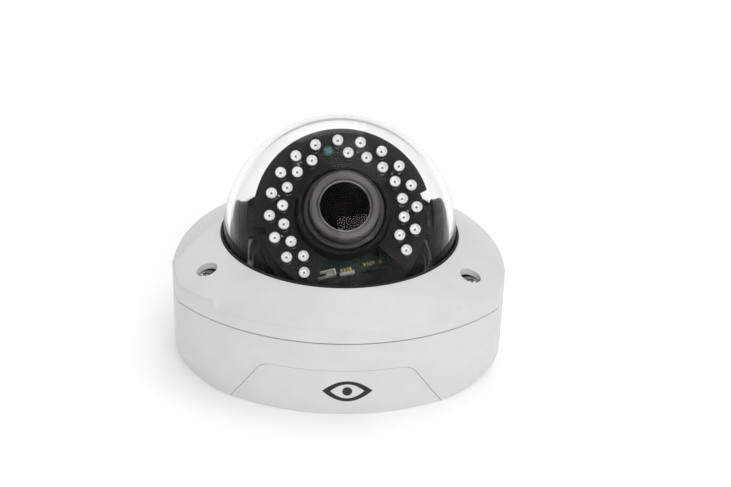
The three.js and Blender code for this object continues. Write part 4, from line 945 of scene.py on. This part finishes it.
# ---------------- cradle
def make_cradle():
    low, seat, high = 0.0, 2.2, 5.5
    ring = turned("cradle", [(31.5, low, 0.3), (CRADLE_RADIUS, low, 0.5), (CRADLE_RADIUS, high, 0.5),
                             (33.3, high, 0.3), (33.3, seat), (31.5, seat, 0.2)], 144)
    for half_turn in (0, 180):
        cheek = moved(rod("cheek", 6.5, 38.7, 41.5, 0.4), turn("Y", 90))
        web = block("web", 34.5, 41.5, -6.5, 6.5, low, high)
        cut(web, rod("clear", 33.3, -20, 20, 0, 144))
        join(cheek, web)
        join(ring, moved(cheek, turn("Z", half_turn)))
    cut(ring, moved(rod("bore", 2.3, -60, 60), turn("Y", 90)))
    cut(ring, rod("clear", 33.3, seat, 30, 0, 144))
    return ring


place(make_cradle(), BLACK_METAL, "tilt", TILT, "tilt_cradle", "black_metal")
retainer = tube("retaining_ring", 31.4, CRADLE_RADIUS, 5.8, 7.2, 0.3, 144)
for azimuth in RETAINER_AZIMUTHS:
    x, y = around(RETAINER_CIRCLE, azimuth)
    cut(retainer, moved(rod("hole", 1.3, 0, 30), shift(x, y, 0)))
place(retainer, BLACK, "tilt", TILT, "rotation_retainer", "black_plastic")
for index, azimuth in enumerate(RETAINER_AZIMUTHS):
    x, y = around(RETAINER_CIRCLE, azimuth)
    place(cross_screw(f"retainer_bolt_{index + 1}", 1.9, 1.2, 1, 4), STEEL, "tilt", TILT @ shift(x, y, 7.5),
          f"retainer_screw_{index + 1}", "steel")

# ---------------- module frame and boards
POST_REACH = 16.6
POSTS = [(x * POST_REACH, y * POST_REACH) for x, y in ((-1, 1), (1, 1), (-1, -1), (1, -1))]
carrier = tube("carrier", 19.5, CARRIER_RADIUS, 2.5, 5.5, 0.4, 144)
for x, y in POSTS:
    cut(carrier, moved(rod("hole", 2.1, 0, 12), shift(x, y, 0)))
window = join(block("window", -22, 22, -34, -20.1, 0, 8),
              block("notch", -13.1, 13.1, -34, -LENS_RADIUS, 0, 8))
cut(carrier, common(window, rod("rim", CARRIER_RADIUS - 2, 1, 7, 0, 144)))
place(carrier, BLACK, "rotator", MODULE, "module_carrier", "black_plastic")
for index, (x, y) in enumerate(POSTS):
    hexagon = [(1.8 * cos(60 * i), 1.8 * sin(60 * i)) for i in range(6)]
    post = soften(slab(f"post_{index + 1}", hexagon, PCB_FRONT + GAP, BOARD_BACK - GAP), 0.15)
    place(post, BRASS, "rotator", MODULE @ shift(x, y, 0), f"board_standoff_{index + 1}", "brass")


def on_board(radius, angle):
    """Point on the lamp board; the angle is clockwise from its top, seen from in front."""
    return radius * sin(angle), radius * cos(angle)


def board_arc(radius, start, end, steps):
    return [on_board(radius, start + (end - start) * i / steps) for i in range(steps + 1)]


def make_lamp_board():
    outer, lower, bore, end, notch = 39.1, 36.6, 21.2, 146, 4
    right = [on_board(outer, 90 - notch), (lower - 2, 1.5), (lower - 2, -1.5)]
    left = [(-lower + 2, -1.5), (-lower + 2, 1.5)]
    outline = (board_arc(outer, -90 + notch, 90 - notch, 80)[:-1] + right
               + board_arc(lower, 90 + notch, end, 30) + board_arc(bore, end, -end, 90)
               + board_arc(lower, -end, -90 - notch, 30) + left)
    return soften(slab("lamp_board", outline, BOARD_BACK, BOARD_FRONT), 0.12, 2, 50)


place(make_lamp_board(), MASK_BLACK, "rotator", MODULE, "ir_led_board", "board_black")

SIDES = (1, -1)
LAMP_STEP = 18
LAMPS = [on_board(32.3, side * LAMP_STEP * (i + 0.5)) for i in range(8) for side in SIDES]
LAMPS += [on_board(26.7, side * LAMP_STEP * i) for i in range(1, 8) for side in SIDES]


def lamp_lens():
    base = BOARD_FRONT
    dome = [(2.5 * cos(90 * i / 6), base + 4.4 + 2.1 * sin(90 * i / 6)) for i in range(6)]
    return turned("lens", [(0, base + 0.1), (2.85, base + 0.1, 0.1), (2.85, base + 0.9, 0.15),
                           (2.5, base + 1.0)] + dome + [(0, base + 6.5)], 32)


def lamp_stem():
    return rod("stem", 2.2, BOARD_FRONT + 0.3, BOARD_FRONT + 2.9, 0.1, 24)


def lamp_cup():
    """Reflector on its lead frame, seen through the lens."""
    low, floor, rim = BOARD_FRONT + 3.1, BOARD_FRONT + 3.6, BOARD_FRONT + 4.4
    return turned("cup", [(0, low), (1.2, low, 0.1), (1.95, rim, 0.1), (1.75, rim + 0.1, 0.05),
                          (0.8, floor, 0.1), (0, floor)], 24)


def lamp_die():
    return block("die", -0.3, 0.3, -0.3, 0.3, BOARD_FRONT + 3.6, BOARD_FRONT + 3.85)


for name, make, material, slot, angle in (
        ("lamp_lenses", lamp_lens, LAMP_CLEAR, "dome_clear", 50),
        ("lamp_stems", lamp_stem, CHIP, "black_plastic", 32),
        ("lamp_cups", lamp_cup, LAMP_CUP, "steel", 32),
        ("lamp_dies", lamp_die, CHIP, "black_plastic", 32)):
    copies = [moved(make(), shift(x, y, 0)) for x, y in LAMPS]
    place(merge(name, copies), material, "rotator", MODULE, slot=slot, angle=angle)

# surface parts and solder points on the lamp board
SMALL_PARTS = [shift(*on_board(29.5, side * (27 + 36 * i)), 0) @ turn("Z", 30)
               for i in range(3) for side in SIDES]
bodies = [moved(block("part", -0.9, 0.9, -0.5, 0.5, BOARD_FRONT, BOARD_FRONT + 0.45), spot)
          for spot in SMALL_PARTS]
place(soften(merge("lamp_board_resistors", bodies), 0.08), CHIP, "rotator", MODULE, slot="black_plastic")
ends = [moved(block("end", s - 0.2, s + 0.2, -0.52, 0.52, BOARD_FRONT, BOARD_FRONT + 0.48), spot)
        for spot in SMALL_PARTS for s in (-0.85, 0.85)]
place(merge("lamp_board_solder", ends), TIN, "rotator", MODULE, slot="steel")

# light cell: a dark face with a folded track
CELL = MODULE @ shift(*on_board(28.6, 0), 0)
SENSOR_TOP = BOARD_FRONT + 3.2
cell = rod("light_cell", 2.3, BOARD_FRONT + GAP, SENSOR_TOP - 0.1, 0.2)
place(cell, TEAL_DARK, "rotator", CELL, "light_sensor", "sensor_teal")
track = [(-1.6, 1.0), (-0.9, 1.0), (-0.9, -0.9), (-0.2, -0.9), (-0.2, 1.0), (0.5, 1.0), (0.5, -0.9),
         (1.2, -0.9), (1.2, 0.9)]
half = 0.12
bars = [block("bar", min(a[0], b[0]) - half, max(a[0], b[0]) + half, min(a[1], b[1]) - half,
              max(a[1], b[1]) + half, SENSOR_TOP - 0.15, SENSOR_TOP) for a, b in zip(track, track[1:])]
place(merge("light_cell_track", bars), TEAL, "rotator", CELL, slot="sensor_teal")

shroud = turned("foam_ring", [(18.5, 14.9, 0.4), (20.5, 14.9, 0.4), (20.5, 26.8, 1.0), (19.6, 27.5, 0.7),
                              (18.5, 27.2, 0.5)], 128)
place(shroud, FOAM, "rotator", MODULE, "foam_shroud", "rubber")

# ---------------- main board
main = slab("sensor_board", rounded_block(-19, 19, -22, 19, 1), PCB_FRONT - 1.6, PCB_FRONT)
for x in (-16, 16):
    cut(main, moved(rod("hole", 1.1, -20, 0), shift(x, 0, 0)))
place(soften(main, 0.1), MASK_GREEN, "rotator", MODULE, "main_board", "board_green")

PAD_TOP = PCB_FRONT + 0.12
pads = [block("pad", x, x + 0.9, -20.4, -18.8, PCB_FRONT, PAD_TOP) for x in (-3.6, -2.2, -0.8, 0.6)]
pads += [block("pad", x, x + 0.9, -19.8, -18.2, PCB_FRONT, PAD_TOP) for x in (7.4, 8.8, 10.2, 11.6)]
pads.append(slab("pad", [(14.2, -20), (16.4, -20), (15.3, -18.2)], PCB_FRONT, PAD_TOP))
place(merge("gold_pads", pads), GOLD, "rotator", MODULE, slot="brass")

SOCKET_X, SOCKET_Y = -14.85, -21.7
PIN_PITCH, PINS, WELL_FLOOR = 1.25, 6, PCB_FRONT + 1.4
socket = block("harness_socket", SOCKET_X, SOCKET_X + 8.5, SOCKET_Y, SOCKET_Y + 3, PCB_FRONT + GAP,
               PCB_FRONT + 5)
cut(socket, block("well", SOCKET_X + 0.7, SOCKET_X + 7.8, SOCKET_Y + 0.6, SOCKET_Y + 2.5, WELL_FLOOR,
                  PCB_FRONT + 6))
pins = []
for i in range(PINS):
    start = SOCKET_X + PIN_PITCH * i
    cut(socket, block("window", start + 0.8, start + 1.5, SOCKET_Y - 1, SOCKET_Y + 0.8, PCB_FRONT + 2,
                      PCB_FRONT + 6))
    pins.append(block("pin", start + 1, start + 1.4, SOCKET_Y + 1.5, SOCKET_Y + 1.9, WELL_FLOOR,
                      PCB_FRONT + 4.6))
place(soften(socket, 0.12), CREAM, "rotator", MODULE, "board_connector", "cream_plastic")
place(merge("socket_pins", pins), TIN, "rotator", MODULE, slot="steel")

small = block("white_socket", -4.6, 2.2, -22.6, -21.0, PCB_FRONT + 0.05, PCB_FRONT + 3.4)
place(soften(small, 0.15), WHITE, "rotator", MODULE, slot="white_plastic")
parts = chip_blocks("part", PCB_FRONT, ((12.2, -14.5, 4, 4, 1.1), (12.8, 9, 3.5, 5, 1.2),
                                        (-17, 8, 3.5, 4, 1.2), (-4, 10, 8, 6, 1.2),
                                        (-16.8, -13.2, 2.5, 2, 0.8), (5, -13, 2.2, 1.2, 0.8),
                                        (13, -8, 1.2, 2.2, 0.8)))
place(soften(merge("board_chips", parts), 0.1), CHIP, "rotator", MODULE, slot="black_plastic")

chip = block("sensor_chip", -5, 5, -4.5, 4.5, PCB_FRONT + GAP, PCB_FRONT + 1.7)
place(soften(chip, 0.15), CHIP, "rotator", MODULE, "image_sensor", "black_plastic")
mount = slab("lens_holder", rounded_block(-11, 11, -8, 8, 1.5), PCB_FRONT + GAP, PCB_FRONT + 4)
join(mount, rod("collar", 13.6, PCB_FRONT + 3, 1.7, 0.3, 96))
cut(mount, rod("bore", 10.6, PCB_FRONT + 4, 3, 0, 64))
cut(mount, block("window", -6.5, 6.5, -6, 6, PCB_FRONT - 1, PCB_FRONT + 5))
place(soften(mount, 0.25), BLACK, "rotator", MODULE, "lens_mount", "black_plastic")

# ---------------- lens
barrel = turned("lens_barrel", [(9.6, 2, 0.2), (LENS_RADIUS, 2, 0.5), (LENS_RADIUS, 24, 0.4),
                                (12.7, 24, 0.3), (12.7, 16), (9.6, 16, 0.2)], 128)
place(barrel, BLACK_METAL, "rotator", MODULE, "lens_body", "black_metal")
rear = turned("rear_element", [(0, 5), (5, 5.35), (8.8, 6), (9.3, 6), (9.3, 8), (8.8, 8), (5, 9.0),
                                (0, 9.4)], 96)
place(rear, COAT_GREEN, "rotator", MODULE, "rear_lens", "lens_glass")

focus = turned("focus_collar", [(15.4, 20.2, 0.3), (18, 20.2, 0.4), (18, 23.2, 0.2), (17.5, 23.4, 0.1),
                                (17.5, 24.0, 0.1), (18, 24.2, 0.2), (18, 26.2, 0.5), (17.2, 27, 0.4),
                                (15.4, 27, 0.4)], 160)
place(focus, RING_DARK, "focus", MODULE, "focus_ring", "lens_grey")


def make_zoom():
    ribs, low, high = 36, 16.7, 17.2
    outline = []
    for i in range(ribs):
        angle = 360 * i / ribs
        for step, r in ((0, low), (2.4, low), (3.4, high), (7.6, high), (8.6, low)):
            outline.append((r * cos(angle + step), r * sin(angle + step)))
    ring = slab("zoom_collar", outline, 9, 15.5)
    cut(ring, rod("bore", 15.4, 8, 17, 0, 128))
    cut(ring, moved(rod("hole", 1.4, 14, 19), shift(0, 0, ZOOM_KNOB_Z) @ turn("Z", -120) @ turn("Y", 90)))
    return soften(ring, 0.12, 2, 30)


place(make_zoom(), LENS_GREY, "zoom", MODULE, "zoom_ring", "lens_grey")
place(cross_screw("zoom_knob", 1.9, 3.2, 1.1, 1.4), STEEL, "zoom",
      MODULE @ turn("Z", -120) @ shift(17.5, 0, ZOOM_KNOB_Z) @ turn("Y", 90), "zoom_lock_screw", "steel")

F = FRONT_FACE
front = turned("front_ring", [(10.2, 18, 0.2), (12.4, 18, 0.3), (12.4, 25.7), (LENS_RADIUS, 25.7, 0.3),
                              (LENS_RADIUS, F - 0.7, 0.4), (14.4, F, 0.4), (12.3, F, 0.25),
                              (12.1, F - 0.5, 0.1), (11.9, F - 0.5, 0.1), (11.6, F - 1.2, 0.1),
                              (11.5, F - 4.5), (10.2, F - 4.5, 0.1)], 160)
place(front, LENS_GREY, "front_group", MODULE, "front_barrel", "lens_grey")
bezel = turned("glass_bezel", [(10.95, F - 1.5, 0.1), (11.45, F - 1.5), (11.45, F - 0.75, 0.1),
                               (11.2, F - 0.55, 0.1), (10.95, F - 0.75, 0.1)], 160)
place(bezel, LENS_BRIGHT, "front_group", MODULE, slot="lens_grey")
glass = turned("front_element", [(0, F - 4.1), (10.1, F - 4.1), (10.9, F - 3.6, 0.1), (10.9, F - 2.2, 0.1),
                                 (8.5, F - 1.62), (6, F - 1.2), (3, F - 0.9), (0, F - 0.8)], 128)
place(glass, GLASS, "front_group", MODULE, "front_lens", "lens_glass")
baffles = []
for i in range(5):
    inner = 9.6 - 1.1 * i
    z = F - 4.6 - 1.7 * i
    baffles.append(turned("baffle", [(inner, z, 0.05), (10.1, z), (10.1, z - 1.4),
                                     (inner - 0.4, z - 1.4, 0.05)], 96))
place(merge("lens_baffles", baffles), FOAM, "front_group", MODULE, slot="black_plastic")
inner_glass = turned("second_element", [(0, 19.4), (4.9, 19.6), (4.9, 20.6), (3, 21.4), (0, 21.9)], 96)
place(inner_glass, COAT_PINK, "front_group", MODULE, slot="lens_glass")

# ---------------- wires of the module
WIRES = (
    ("wire_red", WIRE_RED, [(-13.4, -20.2, -6.4), (-14.4, -20.6, -2), (-18, -21, 6), (-22, -21, 13),
                            (-23.2, -20.4, 17.2)]),
    ("wire_green", WIRE_GREEN, [(-12.2, -20.2, -6.4), (-13.4, -21.2, -1), (-18.5, -22.3, 7),
                                (-23.5, -22, 13), (-24.6, -21, 17.2)]),
    ("wire_black", BLACK, [(-11, -20.2, -6.4), (-12.2, -21.6, 0), (-17, -23.2, 8), (-21.4, -22.8, 14),
                           (-21.6, -22, 17.2)]),
)
for name, material, route in WIRES:
    place(swept(name, route, 0.42), material, "rotator", MODULE, slot="rubber")


# ---------------- floor and lights
def make_floor():
    half = 4000
    floor = block("floor", -half, half, -half, half, -20, -0.05)
    mat = surface("floor_paper", (0.92, 0.92, 0.92), (0.94, 0.94, 0.94), (0.8, 0.9), grain=(300, 0.01),
                  patch=3)
    shader = mat.node_tree.nodes["Principled BSDF"]
    shader.inputs["Emission Color"].default_value = (1, 1, 1, 1)
    shader.inputs["Emission Strength"].default_value = 0.16
    floor.data.materials.append(mat)


def area_light(name, location, target, size, power):
    data = bpy.data.lights.new(name, "AREA")
    data.shape = "RECTANGLE"
    data.size, data.size_y = size
    data.energy = power
    lamp = bpy.data.objects.new(name, data)
    lamp.location = location
    lamp.rotation_euler = (Vector(target) - Vector(location)).to_track_quat("-Z", "Y").to_euler()
    bpy.context.scene.collection.objects.link(lamp)


def make_lights():
    world = bpy.data.worlds.new("studio")
    world.use_nodes = True
    world.node_tree.nodes["Background"].inputs["Color"].default_value = (1, 1, 1, 1)
    world.node_tree.nodes["Background"].inputs["Strength"].default_value = 0.5
    bpy.context.scene.world = world
    area_light("overhead", (0.25, 0.2, 1.3), (0, 0, 0.05), (1.2, 0.9), 6.4)
    area_light("front_fill", (0.4, -1.3, 0.75), (0, 0, 0.04), (0.9, 0.7), 6.0)
    area_light("back_fill", (-0.2, 1.4, 0.8), (0, 0, 0.06), (1.0, 0.6), 3)
    bpy.context.scene.view_settings.view_transform = "Standard"


make_floor()
make_lights()
